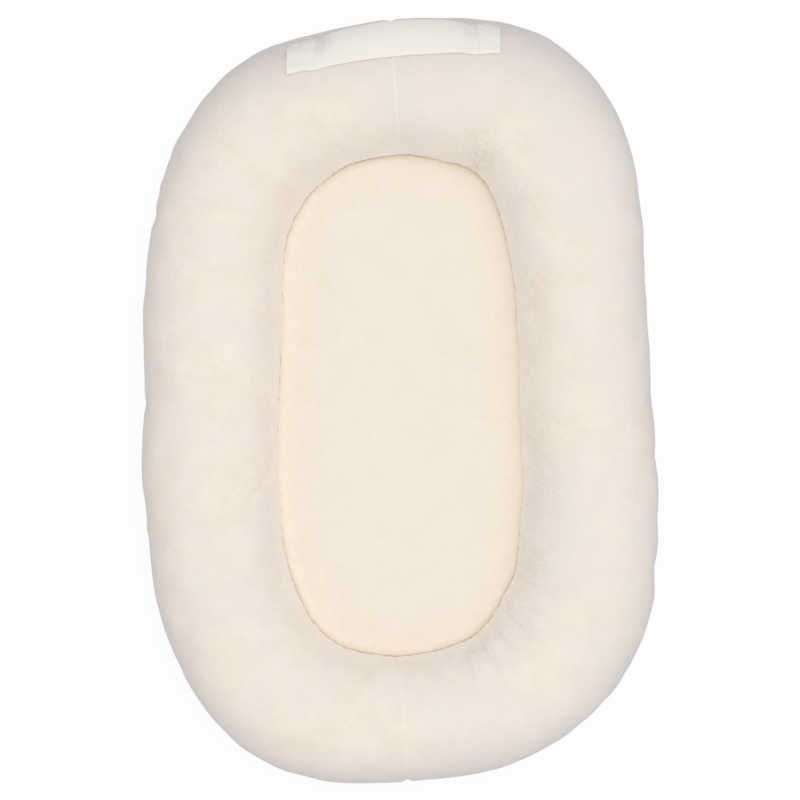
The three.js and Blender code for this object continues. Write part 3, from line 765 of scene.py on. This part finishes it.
class SkinMoves:
    """How the blown-up cloth of the whole bolster moves, by place along and round it: outwards,
    along the ring and up."""

    rings, rounds = 270, 54
    inner_wall = MAT_SEAM_SHARE - 0.05
    slow_waves = 9
    kept_swell = 0.1
    calm = 0.3
    deepest = 1.6 * MM

    def __init__(self):
        self.field = np.zeros((self.rings, self.rounds, 3))
        mesh = finish_mesh(tube(self.rings, self.rounds, FULL_TURN), "cloth_trial")
        along, around = tube_places(coordinates(mesh), FULL_TURN)
        place, _ = skin_points(along, around, 1 * MM)
        set_coordinates(mesh, place)
        turn_out(mesh)
        seam_margin = 0.01
        is_held = (around > MAT_SEAM_SHARE - seam_margin) & (around < BASE_SEAM_SHARE + seam_margin)
        held = np.where(is_held, 1.0, 0.0)
        roomy = swell(around, self.inner_wall, 0.24)
        moved = blown_up(mesh, held, roomy, growth=(0.008, 0.05), pressure=4.0, cap=9 * MM)
        _, _, out_x, out_y, _ = RING.at(along)
        outward = moved[:, 0] * out_x + moved[:, 1] * out_y
        onward = moved[:, 1] * out_x - moved[:, 0] * out_y
        ring = np.rint(along * self.rings).astype(int) % self.rings
        girth = np.rint(around * self.rounds).astype(int) % self.rounds
        self.field[ring, girth] = np.stack([outward, onward, moved[:, 2]], -1)

        # Most of the slow swelling along the ring is taken out, because the form has its own, and
        # the outer side is calmed
        waves = np.fft.rfft(self.field, axis=0)
        slow = np.exp(-((np.arange(len(waves)) / self.slow_waves) ** 2))[:, None, None]
        self.field = np.fft.irfft(waves * (1 - (1 - self.kept_swell) * slow), self.rings, axis=0)
        inward = swell(np.arange(self.rounds) / self.rounds, self.inner_wall, 0.42)
        self.field *= (self.calm + (1 - self.calm) * inward)[None, :, None]
        self.field = self.deepest * np.tanh(self.field / self.deepest)

    def at(self, ring_share, girth_share):
        """The move at any place, smooth between the trial cloth's points."""
        _, _, out_x, out_y, _ = RING.at(ring_share)
        along, around = (ring_share % 1) * self.rings, (girth_share % 1) * self.rounds
        outward, onward, upward = field_at(self.field, along, around).T
        x, y = outward * out_x - onward * out_y, outward * out_y + onward * out_x
        return np.stack([x, y, upward], -1)


SKIN_MOVES = SkinMoves()


# Places in plan where the plush is crinkled: x, y, radius, and the shares of its soft folds and
# of its ruffled pile
CRINKLED = (
    (0.075, 0.245, 0.050, 0.7, 0.9), (0.118, 0.200, 0.040, 0.5, 0.6),
    (0.137, 0.100, 0.050, 0.3, 0.3), (0.137, -0.030, 0.045, 0.4, 0.7),
    (0.138, -0.100, 0.045, 0.5, 0.8), (0.134, -0.160, 0.045, 0.8, 0.8),
    (0.118, -0.215, 0.055, 1.3, 0.6), (0.080, -0.262, 0.050, 1.2, 0.3),
    (-0.160, -0.240, 0.095, 1.2, 0.0), (-0.190, 0.215, 0.080, 1.2, 0.0),
    (-0.200, 0.130, 0.060, 0.7, 0.0), (-0.030, -0.285, 0.070, 0.6, 0.2),
    (0.215, 0.150, 0.090, 0.6, 0.0), (-0.205, 0.020, 0.090, 0.5, 0.0),
    (-0.070, 0.280, 0.060, 0.4, 0.2), (-0.220, -0.130, 0.070, 0.6, 0.0),
    (0.200, -0.270, 0.080, 0.7, 0.0), (0.225, -0.050, 0.090, 0.5, 0.0),
)
FOLDS, RUFFLES = 3, 4
MOST_CRINKLED = 1.3
# Dents in the outer edge, and one bulge, whose depth is below zero: x, y, radius and depth
DENTS = (
    (-0.220, 0.236, 0.018, 2.2 * MM), (-0.240, 0.203, 0.016, 1.2 * MM),
    (-0.246, 0.184, 0.014, 2.6 * MM), (-0.256, 0.120, 0.026, 1.0 * MM),
    (-0.257, -0.004, 0.014, 1.8 * MM), (-0.254, -0.105, 0.024, 1.2 * MM),
    (0.246, 0.205, 0.030, 0.8 * MM), (0.255, -0.170, 0.032, 3.4 * MM),
    (0.258, -0.089, 0.032, -2.8 * MM), (-0.169, -0.316, 0.032, 2.2 * MM),
)


def crinkled_at(x, y, column):
    """How crinkled the plush is at places in plan, by the table's folds or by its ruffles."""
    total = 0
    for spot in CRINKLED:
        total = total + spot[column] * swell(np.hypot(x - spot[0], y - spot[1]), 0, spot[2])
    return np.minimum(MOST_CRINKLED, total)


def plush_relief(ring_share, girth_share, place):
    """How far the plush stands off the smooth form: stuffing lumps, crinkles, dents, gathers and
    seams."""
    x, y, z = place.T
    along = ring_share * RING.length
    over = girth_share * GIRTH.length
    relief = 1.6 * MM * noise_at(x, y, z, scales=0.085, offset=3.1)
    relief += 0.9 * MM * noise_at(x, y, z, scales=0.030, offset=7.7)

    waves = noise_at(along, over, z, scales=(0.0070, 0.040, 1.0), offset=5.5)
    ripples = noise_at(along, over, z, scales=(0.014, 0.030, 1.0), offset=15.5)
    above = smooth(z, EQUATOR_HEIGHT - 20 * MM, EQUATOR_HEIGHT + 10 * MM)
    relief += above * crinkled_at(x, y, FOLDS) * (1.6 * MM * waves + 3.2 * MM * ripples)
    at_widest = swell(z, EQUATOR_HEIGHT, 60 * MM)
    for cx, cy, radius, depth in DENTS:
        relief -= depth * swell(np.hypot(x - cx, y - cy), 0, radius) * at_widest

    # The skin draws in at the mat seam, the base seam and the two cross seams, with gathers above
    # the base seam
    relief -= 0.6 * MM * swell(girth_share, MAT_SEAM_SHARE, 0.02)
    relief -= 1.4 * MM * swell(girth_share, BASE_SEAM_SHARE, 0.014)
    gathers = np.abs(noise_at(along, over, scales=(0.010, 0.060), offset=25.5))
    relief -= 2.0 * MM * gathers * swell(girth_share, BASE_SEAM_SHARE + 0.02, 0.075)
    at_side = swell(girth_share, 0, 0.12) + swell(girth_share, 1, 0.12)
    for seam in (0.0, RING.foot_share):
        apart = seam_distance(ring_share, seam)
        relief -= (0.25 + 1.9 * at_side) * MM * (1 - smooth(apart, 0.2 * MM, 5 * MM))

    # Under the base cloth the skin lies below it
    under = smooth(girth_share, MAT_SEAM_SHARE, MAT_SEAM_SHARE + 0.02)
    under = under * (1 - smooth(girth_share, BASE_SEAM_SHARE - 0.012, BASE_SEAM_SHARE))
    return relief * (1 - under) - (BASE_THICKNESS + LAYER_GAP) * under


def plush_skin(ring_share, girth_share):
    """Points of the finished plush."""
    place, normal = skin_points(ring_share, girth_share)
    relief = plush_relief(ring_share, girth_share, place)
    return place + normal * relief[:, None] + SKIN_MOVES.at(ring_share, girth_share)


def spaced(length, step, fine_step, fine_reach):
    """Places along a length, closer together near both ends."""
    places = [0.0]
    while places[-1] < length / 2:
        share = smooth(places[-1], fine_reach / 2, 2 * fine_reach)
        places.append(places[-1] + fine_step + (step - fine_step) * float(share))
    half = np.array(places) * (length / 2) / places[-1]
    return np.concatenate([half, length - half[-2::-1]])


def bolster_half(name, node, first, last):
    """One plush half of the bolster, from one cross seam to the other."""
    grain = 2.3 * MM
    length = (last - first) * RING.length
    stops = spaced(length, grain, fine_step=0.5 * MM, fine_reach=5 * MM)
    mesh = finish_mesh(tube(len(stops) - 1, round(GIRTH.length / grain), math.pi), name)
    along, around = tube_places(coordinates(mesh), math.pi)
    run = np.interp(along * (len(stops) - 1), np.arange(len(stops)), stops)
    ring_share = first + run / RING.length
    set_coordinates(mesh, plush_skin(ring_share, around))
    # Painted light in the groove against its shade, and paler cross seams, partly painted light
    painted_groove_light = 1 - smooth(np.abs(around - MAT_SEAM_SHARE), 0.03, 0.16)
    seams = [
        share * (1 - smooth(seam_distance(ring_share, place), 0.5 * MM, 1.8 * MM))
        for share, place in ((0.3, 0.0), (0.15, RING.foot_share))
    ]
    set_share(mesh, "seam", np.maximum(sum(seams), painted_groove_light))
    x, y, z = coordinates(mesh).T
    _, normal = skin_points(ring_share, around)
    # Painted shade: slopes that face the head, and the head end, are darkened, less on the inner
    # side
    facing_head = np.clip(normal[:, 1], 0, 1) + 0.3 * smooth(y, 240 * MM, 320 * MM)
    inner_side = smooth(around, 0.2, 0.32) * (1 - smooth(around, 0.78, 1))
    set_share(mesh, "painted_head_shade", facing_head * (1 - 0.8 * inner_side))
    above = smooth(z, EQUATOR_HEIGHT - 5 * MM, EQUATOR_HEIGHT + 15 * MM)
    set_share(mesh, "crinkled", crinkled_at(x, y, RUFFLES) * above)
    add_piece(name, mesh, PLUSH, [node])


def bolster_core(name, node, inset, finish):
    """The lining tube or the stuffing inside the plush, a closed ring."""
    mesh = finish_mesh(tube(rings=220, rounds=64, angle=FULL_TURN), name)
    along, around = tube_places(coordinates(mesh), FULL_TURN)
    place, normal = skin_points(along, around, inset)
    lump = 0.8 * MM
    softness = lump * noise_at(*place.T, scales=0.05, offset=21.0)
    set_coordinates(mesh, place + normal * (softness - lump)[:, None])
    add_piece(name, mesh, finish, [node])


LINER_INSET = 2.5 * COVER_THICKNESS
FILL_INSET = LINER_INSET + 2 * LINER_THICKNESS
bolster_half("bolster_plush_left", "bolster_cover_left", 0.0, RING.foot_share)
bolster_half("bolster_plush_right", "bolster_cover_right", RING.foot_share, 1.0)
bolster_core("bolster_lining", "bolster_liner", LINER_INSET, LINING)
bolster_core("bolster_stuffing", "bolster_fill", FILL_INSET, WADDING)


# Mat


class Rim:
    """The outline of the mat in plan: where its edge presses on the plush of the inner wall, or
    an inset inside it."""

    samples = 1440
    batch = 4096

    def __init__(self, inset):
        share = np.linspace(0, 1, self.samples, endpoint=False)
        x, y, out_x, out_y, _ = RING.at(share)
        girth_share = np.full(share.shape, GIRTH.share_at(math.pi + turn_down_to(MAT_EDGE_HEIGHT)))
        wall = plush_skin(share, girth_share)
        inward = -((wall[:, 0] - x) * out_x + (wall[:, 1] - y) * out_y)
        reach = inward + inset
        self.points = np.stack([x - out_x * reach, y - out_y * reach], -1)
        angle = np.arctan2(self.points[:, 1], self.points[:, 0])
        order = np.argsort(angle)
        self.angle = angle[order]
        self.radius = np.hypot(*self.points.T)[order]

    def reach(self, angle):
        return np.interp(angle, self.angle, self.radius, period=FULL_TURN)

    def distance(self, x, y):
        """How far places lie from the outline, by every second of its points."""
        places, outline = np.stack([x, y], -1), self.points[::2]
        nearest = [
            np.sqrt(((part[:, None] - outline) ** 2).sum(-1).min(1))
            for part in np.array_split(places, 1 + len(places) // self.batch)
        ]
        return np.concatenate(nearest)


PAD_BOTTOM = 13.5 * MM
MAT_EDGE_HEIGHT = 48 * MM
MAT_ROLL_HEIGHT = 3.0 * MM
MAT_MIDDLE_HEIGHT = 54 * MM
MAT_HALF_X, MAT_HALF_Y = 121 * MM, 252 * MM
MEAN_MAT_REACH = 200 * MM
ROLL_REACH, DOME_REACH = 8 * MM, 75 * MM
PAD_SIDE_HEIGHT, PAD_SIDE_REACH = 14 * MM, 16 * MM


def mat_places(mesh, rim, inset):
    """Points of a padded oval, crowned on top, rolled down into the groove and rounded
    underneath, from a square block; how far in from the rim and at what angle each lies."""
    square = coordinates(mesh)
    share = np.maximum(np.abs(square[:, 0]), np.abs(square[:, 1]))
    angle = np.arctan2(square[:, 1] * MAT_HALF_Y, square[:, 0] * MAT_HALF_X)
    radius = share * rim.reach(angle)
    x, y = radius * np.cos(angle), radius * np.sin(angle)
    inward = np.where(share > 1 - 1e-6, 0, rim.distance(x, y))
    roll = np.minimum(inward / ROLL_REACH, 1)
    fall = MAT_ROLL_HEIGHT * (0.7 + 0.3 * np.sin(angle) ** 4)
    dome = np.sin(np.minimum(inward / DOME_REACH, 1) * math.pi / 2)
    top = MAT_EDGE_HEIGHT + MAT_ROLL_HEIGHT - inset - fall * (1 - roll) ** 2
    top += (MAT_MIDDLE_HEIGHT - MAT_EDGE_HEIGHT - MAT_ROLL_HEIGHT) * dome
    rounding = (1 - np.minimum(inward / PAD_SIDE_REACH, 1)) ** 2
    under = PAD_BOTTOM + inset + PAD_SIDE_HEIGHT * rounding
    height = np.where(square[:, 2] > 0.5, top, under)
    return np.stack([x, y, height], -1), inward, angle


def mat_block(name, grain):
    columns, rows = round(2 * MAT_HALF_X / grain), round(2 * MAT_HALF_Y / grain)
    return finish_mesh(square_block(columns, rows), name)


class MatMoves:
    """How the blown-up cloth of the mat's top moves, by place over the square it is mapped from."""

    columns, rows = 34, 70

    def __init__(self, rim):
        self.field = np.zeros((self.columns + 3, self.rows + 3, 3))
        mesh = finish_mesh(square_block(self.columns, self.rows), "mat_trial")
        square = coordinates(mesh)
        place, inward, _ = mat_places(mesh, rim, 0.0)
        set_coordinates(mesh, place)
        turn_out(mesh)
        is_top = square[:, 2] > 0.5
        held = np.where(is_top & (inward > 1 * MM), 0.0, 1.0)
        roomy = swell(inward, 0, 60 * MM)
        moved = blown_up(mesh, held, roomy, growth=(0.004, 0.02), pressure=2.0, cap=5 * MM)
        column, row = np.rint(self.cells(square[is_top])).astype(int)
        self.field[column, row] = moved[is_top]

    def cells(self, square):
        """Where places on the square lie on the field, which has an empty cell all round."""
        return ((square[:, :2] + 1) / 2 * (self.columns, self.rows) + 1).T

    def at(self, square):
        return field_at(self.field, *self.cells(square)) * (square[:, 2] > 0.5)[:, None]


def mat_top(name, node):
    """The mat's plush cover, with soft puckers near the groove."""
    mesh = mat_block(name, grain=1.9 * MM)
    rim = Rim(0.0)
    square = coordinates(mesh)
    place, inward, angle = mat_places(mesh, rim, 0.0)
    x, y, _ = place.T
    lift = 0.9 * MM * noise_at(x, y, scales=(0.09, 0.13), offset=2.0)
    lift += 0.45 * MM * noise_at(x, y, scales=(0.035, 0.05), offset=9.0)
    round_edge = angle * MEAN_MAT_REACH
    puckers = noise_at(round_edge, inward, scales=(0.009, 0.05), offset=33.0)
    lift += 0.5 * MM * puckers * swell(inward, 12 * MM, 10 * MM)
    lift *= smooth(inward, 0, 8 * MM) * (square[:, 2] > 0.5)
    place[:, 2] += lift
    set_coordinates(mesh, place + MatMoves(rim).at(square))
    # Painted light round the rim, against the shade of the bolster's wall
    set_share(mesh, "seam", 0.85 * (1 - smooth(inward, 3 * MM, 22 * MM)))
    add_piece(name, mesh, MAT_PLUSH, [node])


def mat_layer(name, node, inset, finish):
    """The mat's lining or its wadding."""
    mesh = mat_block(name, grain=6 * MM)
    set_coordinates(mesh, mat_places(mesh, Rim(inset), inset)[0])
    add_piece(name, mesh, finish, [node])


mat_top("mat_plush", "mat_cover")
mat_layer("mat_lining", "mat_liner", LINER_INSET, LINING)
mat_layer("mat_wadding", "mat_fill", FILL_INSET, WADDING)


# Base cloth


SEAM_TUCK = 0.6 * MM
TAPE_CLEARANCE = 0.15 * MM
SLOT_ROUNDING = 1.5 * MM


def inner_edge(ring_share):
    """Where the base leaves the bolster and turns flat."""
    return skin_points(ring_share, np.full(ring_share.shape, BASE_MIDDLE_SHARE))[0]


def middle_seam(edge, place, side):
    """Where the cloth from points on its inner edge ends in plan: at the middle seam, which lies
    midway between the two halves' inner edges, or at the side of the zip's slot."""
    other_share = RING.foot_share * (1 - place) if side > 0 else 1 - (1 - RING.foot_share) * place
    y = (edge[:, 1] + inner_edge(other_share)[:, 1]) / 2
    ends = inner_edge(np.array([0.0, RING.foot_share]))
    end_x = np.where(y > 0, ends[0, 0], ends[1, 0])
    end_y = np.where(y > 0, ends[0, 1], ends[1, 1])
    slot_end = np.sign(y) * SLOT_HALF_LENGTH
    beyond = np.clip((y - slot_end) / (end_y - slot_end), 0, 1)
    in_slot = smooth(SLOT_HALF_LENGTH - np.abs(y), -SLOT_ROUNDING, SLOT_ROUNDING)
    return end_x * beyond + side * SLOT_HALF_WIDTH * in_slot, y


def base_half(name, node, first, last, side):
    """Half of the base: from the plush's lower seam under the bolster to the middle seam."""
    grain = 3 * MM
    rows = round((last - first) * RING.length / (0.7 * grain))
    under_length = (BASE_SEAM_SHARE - BASE_MIDDLE_SHARE) * GIRTH.length
    flat_length = LINE_HALF_WIDTH - BOLSTER_WIDTH / 2
    under_share = under_length / (under_length + flat_length)
    columns = round((under_length + flat_length) / grain)
    mesh = finish_mesh(square_block(columns, rows), name)
    square = coordinates(mesh)
    across, place, layer = (square[:, 0] + 1) / 2, (square[:, 1] + 1) / 2, square[:, 2]
    trim = SEAM_GAP / 2 / RING.length
    ring_share = first + trim + place * (last - first - 2 * trim)

    # Under the bolster, the outer and the upper face of the cloth
    under_place = np.clip(across / under_share, 0, 1)
    seam_share = BASE_SEAM_SHARE - SEAM_TUCK / GIRTH.length
    girth_share = seam_share + under_place * (BASE_MIDDLE_SHARE - seam_share)
    outer, normal = skin_points(ring_share, girth_share)
    upper, _ = skin_points(ring_share, girth_share, BASE_THICKNESS)

    # Flat between the bolster and the middle seam
    edge = inner_edge(ring_share)
    seam_x, seam_y = middle_seam(edge, place, side)
    inward = np.clip((across - under_share) / (1 - under_share), 0, 1)
    x = edge[:, 0] + (seam_x - edge[:, 0]) * inward
    y = edge[:, 1] + (seam_y - edge[:, 1]) * inward
    flat = np.stack([x, y, np.full(x.shape, BASE_CLEARANCE)], -1)
    top_height = BASE_CLEARANCE + BASE_THICKNESS - TAPE_CLEARANCE
    top = np.stack([x, y, np.full(x.shape, top_height)], -1)
    is_flat = (across > under_share)[:, None]
    face = np.where(is_flat, flat, outer)
    back = np.where(is_flat, top, upper)

    # Gathers at the outer seam, and pull lines where the flat cloth sags between its seams
    from_seam = under_place * under_length
    along = ring_share * RING.length
    gathers = np.abs(noise_at(along, from_seam, scales=(0.009, 0.05), offset=4.0))
    near_seam = (1 - smooth(from_seam, 2 * MM, 26 * MM)) * smooth(from_seam, 0, 2 * MM)
    dip = 0.9 * MM * gathers * near_seam
    pulls = np.abs(noise_at(x + y, x - y, scales=(0.05, 0.16), offset=8.0))
    between_seams = smooth(inward, 0.02, 0.25) * (1 - smooth(inward, 0.75, 0.99))
    sag = (1.3 * MM * pulls + 0.6 * MM) * between_seams
    face = face + normal * np.where(is_flat[:, 0], 0, dip)[:, None]
    face[:, 2] -= sag
    back[:, 2] -= sag
    points = np.where((layer > 0.5)[:, None], face, back)
    points[:, 2] = np.maximum(points[:, 2], np.where(layer > 0.5, 0, BASE_THICKNESS))
    set_coordinates(mesh, points)
    add_piece(name, mesh, BASE_CLOTH, [node])


base_half("base_cloth_left", "base_panel_left", 0.0, RING.foot_share, -1)
base_half("base_cloth_right", "base_panel_right", RING.foot_share, 1.0, 1)


# Carry handle


class HandleBed:
    """The bolster's top under the handle, by place along the webbing and across it, outwards from
    its inner edge."""

    inner_margin = 3 * MM
    columns, rows = 214, 22
    first_y, last_y, step = 280 * MM, 384 * MM, 0.25 * MM
    span = 4

    def __init__(self):
        self.x = np.linspace(-HANDLE_LEFT_REACH, HANDLE_RIGHT_REACH, self.columns)
        self.cloth = np.linspace(-self.inner_margin, WEBBING_WIDTH, self.rows)
        y = np.arange(self.first_y, self.last_y, self.step)
        self.points = np.zeros((len(self.x), len(self.cloth), 3))
        for row, x in enumerate(self.x):
            out, half_width, ring_share = RING.out_from(np.full(y.shape, x), y)
            beside = np.minimum(1, np.abs(out) / half_width)
            turn = np.arccos(beside ** (CROWN_ROUNDNESS / 2))
            girth_share = GIRTH.share_of(np.where(out > 0, turn, math.pi - turn))
            plush = plush_skin(ring_share, girth_share)
            share = row / (len(self.x) - 1)
            at_end = HANDLE_INSETS[0] + (HANDLE_INSETS[2] - HANDLE_INSETS[0]) * share
            inset = at_end + (HANDLE_INSETS[1] - at_end) * (1 - (2 * share - 1) ** 2)
            run = runs(plush[:, 1], plush[:, 2])
            at_run = self.cloth + np.interp(0, out - (half_width - inset), run)
            columns = [np.interp(at_run, run, column) for column in plush.T[1:]]
            self.points[row] = np.stack([np.full(at_run.shape, x), *columns], -1)

        # The webbing spans the small dips along its way
        margins = ((self.span, self.span), (0, 0), (0, 0))
        padded = np.pad(self.points[..., 1:], margins, mode="edge")
        steps = 2 * self.span + 1
        evened = sum(padded[step : step + len(self.x)] for step in range(steps)) / steps
        self.points[..., 1:] = np.maximum(self.points[..., 1:], evened)

    @staticmethod
    def cells(places, grid):
        """Where places lie on an even grid, in cells from its start."""
        return np.clip((places - grid[0]) / (grid[1] - grid[0]), 0, len(grid) - 1.001)

    def at(self, x, cloth):
        u, v = self.cells(x, self.x), self.cells(cloth, self.cloth)
        i, j = u.astype(int), v.astype(int)
        s, t = (u - i)[:, None], (v - j)[:, None]
        near = self.points[i, j] * (1 - t) + self.points[i, j + 1] * t
        far = self.points[i + 1, j] * (1 - t) + self.points[i + 1, j + 1] * t
        return near * (1 - s) + far * s


def webbing_slab(name, first, last, plain_ends):
    """A flat length of webbing with rounded edges, along X from first to last, square at the
    plain ends."""
    grain = 1.6 * MM
    columns, rows = round((last - first) / grain), round(WEBBING_WIDTH / grain)
    bm = square_block(columns, rows)
    for vert in bm.verts:
        x = first + (vert.co.x + 1) / 2 * (last - first)
        vert.co = (x, (vert.co.y + 1) / 2 * WEBBING_WIDTH, vert.co.z * WEBBING_THICKNESS)

    def is_plain(edge):
        return any(all(abs(vert.co.x - end) < MM / 10 for vert in edge.verts) for end in plain_ends)

    corners = [edge for edge in bm.edges if edge.calc_face_angle(0) > SHARP_ANGLE]
    rim = [edge for edge in corners if not is_plain(edge)]
    bmesh.ops.bevel(
        bm, geom=rim, offset=0.42 * WEBBING_THICKNESS, offset_type="OFFSET", affect="EDGES",
        segments=3, profile=0.5, material=-1, clamp_overlap=True,
    )
    return finish_mesh(bm, name)


def lay_webbing(mesh, bed):
    """Lays the flat webbing over the bolster: slack in the middle, doubled and crumpled at its
    sewn ends, where the upper layer slants in from the fold."""
    x, cloth, up = coordinates(mesh).T
    outer = cloth / WEBBING_WIDTH
    outer_part = smooth(outer, 0.3, 0.9)
    free = np.clip((x - FREE_LEFT) / (FREE_RIGHT - FREE_LEFT), 0, 1)
    slack = np.tanh(1.5 * np.sin(free**0.9 * math.pi)) * HANDLE_SLACK * cloth / WEBBING_WIDTH

    # How far past the fold's edge each point lies, below zero on the free run
    slant = (cloth - WEBBING_WIDTH / 2) * FOLD_SLANT
    beyond = np.maximum(FREE_LEFT - x + slant, x - FREE_RIGHT + slant)

    # The upper face stands higher over the fold and creases there, and is drawn in beside it
    doubled = FOLDED_END_THICKNESS - WEBBING_THICKNESS + 0.5 * MM + 1.2 * MM * outer_part
    doubled *= smooth(beyond, -1.5 * MM, 0.7 * MM)
    tuck = 1.9 * MM * swell(beyond, -7 * MM, 9 * MM) * smooth(outer, 0.1, 0.8)
    ripple = 0.35 * MM * noise_at(x, cloth, scales=(0.05, 0.03), offset=12.0)
    slanted = x + 0.6 * cloth
    folds = np.abs(noise_at(slanted, cloth, scales=(0.0075, 0.012), offset=41.0))
    crumpled = smooth(beyond, -12 * MM, 6 * MM) * (0.4 + 0.6 * outer_part)
    creases = 3.6 * MM * folds * crumpled
    upper_face = smooth(up, 0, WEBBING_THICKNESS)
    raised = (doubled - tuck + creases + np.maximum(ripple, 0)) * upper_face
    lift = HANDLE_CLEARANCE + slack + up + raised

    # The sewn ends have rounded outer corners, and the inner edge slips in a little by the fold
    corner = 4 * MM * smooth(outer, 0.84, 1) ** 2 * smooth(beyond, 10 * MM, 24 * MM)
    slipped = 2 * MM * swell(beyond, -4 * MM, 20 * MM) * (1 - smooth(outer, 0, 0.5))
    place = bed.at(x - np.sign(x) * corner, cloth - slipped) + LIFT_DIRECTION * lift[:, None]
    set_coordinates(mesh, place)
    set_cloth_map(mesh, x, cloth)
    # Painted shade beside the folds, stronger at the left end
    fold_shade_share = swell(beyond, -5 * MM, 20 * MM) * (beyond < 0) * smooth(outer, 0.05, 0.8)
    set_share(mesh, "fold_shade_share", fold_shade_share * np.where(x < 0, 0.6, 0.3))


def make_handle():
    """The free run in two halves, which bow out between the sewn ends, and the two sewn ends."""
    bed = HandleBed()
    middle = (FREE_LEFT + FREE_RIGHT) / 2
    height = BOLSTER_HEIGHT
    left = webbing_slab("handle_webbing_left", FREE_LEFT, middle, [FREE_LEFT, middle])
    right = webbing_slab("handle_webbing_right", middle, FREE_RIGHT, [middle, FREE_RIGHT])
    for mesh, end in ((left, FREE_LEFT), (right, FREE_RIGHT)):
        lay_webbing(mesh, bed)
        span = ("root", "carry_handle", (end, HANDLE_Y, height), (middle, HANDLE_Y, height))
        nodes = ["handle_strap"] if mesh is left else []
        add_piece(mesh.name, mesh, WEBBING, nodes, blend=span)
    ends = (
        ("handle_fold_left", "handle_end_left", -HANDLE_LEFT_REACH, FREE_LEFT, FREE_LEFT),
        ("handle_fold_right", "handle_end_right", FREE_RIGHT, HANDLE_RIGHT_REACH, FREE_RIGHT),
    )
    for name, node, first, last, joint in ends:
        mesh = webbing_slab(name, first, last, [joint])
        lay_webbing(mesh, bed)
        add_piece(name, mesh, WEBBING, [node])


make_handle()


# Zip: the frame's own pieces, and the stitches that hold its tapes to the base


def paint(nodes, finish):
    for node in nodes:
        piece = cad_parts[node]
        piece.data.materials.clear()
        piece.data.materials.append(finish)


paint(["zip_tape_left", "zip_tape_right"], TAPE)
paint(["zip_teeth_left", "zip_teeth_right"], RESIN)
paint(["zip_top_stop_left", "zip_top_stop_right", "zip_bottom_stop"], NICKEL)
paint(["zip_slider", "zip_pull"], NICKEL)


def stitches(name, x, y, count, pitch, size):
    """A row of stitches in the underside of the base, one after another along Y round a place."""
    stands_off = 0.25 * MM
    bm = bmesh.new()
    for number in range(count):
        middle = (x, y + (number - (count - 1) / 2) * pitch, BASE_CLEARANCE - stands_off)
        place = Matrix.Translation(middle) @ Matrix.Diagonal((*size, 1.0))
        bmesh.ops.create_uvsphere(bm, u_segments=8, v_segments=5, radius=0.5, matrix=place)
    add_piece(name, finish_mesh(bm, name), THREAD)


STITCH_PITCH = 3.8 * MM
STITCH_SIZE = (0.8 * MM, 3.0 * MM, 0.8 * MM)
STITCH_COUNT = int(2 * SLOT_HALF_LENGTH / STITCH_PITCH)
for side, word in ((-1, "left"), (1, "right")):
    for row, offset in (("inner", 2.2 * MM), ("outer", 7.4 * MM)):
        x = side * (SLOT_HALF_WIDTH + offset)
        stitches(f"zip_stitches_{word}_{row}", x, 0, STITCH_COUNT, STITCH_PITCH, STITCH_SIZE)

# A bar tack closes each end of the zip
TACK_COUNT = 9
TACK_PITCH = 0.42 * MM
TACK_SIZE = (15.5 * MM, 0.7 * MM, 1.1 * MM)
TACK_OFFSET = 0.9 * MM
for side, word in ((-1, "foot"), (1, "head")):
    y = side * (SLOT_HALF_LENGTH + TACK_OFFSET)
    stitches(f"zip_bar_tack_{word}", 0, y, TACK_COUNT, TACK_PITCH, TACK_SIZE)
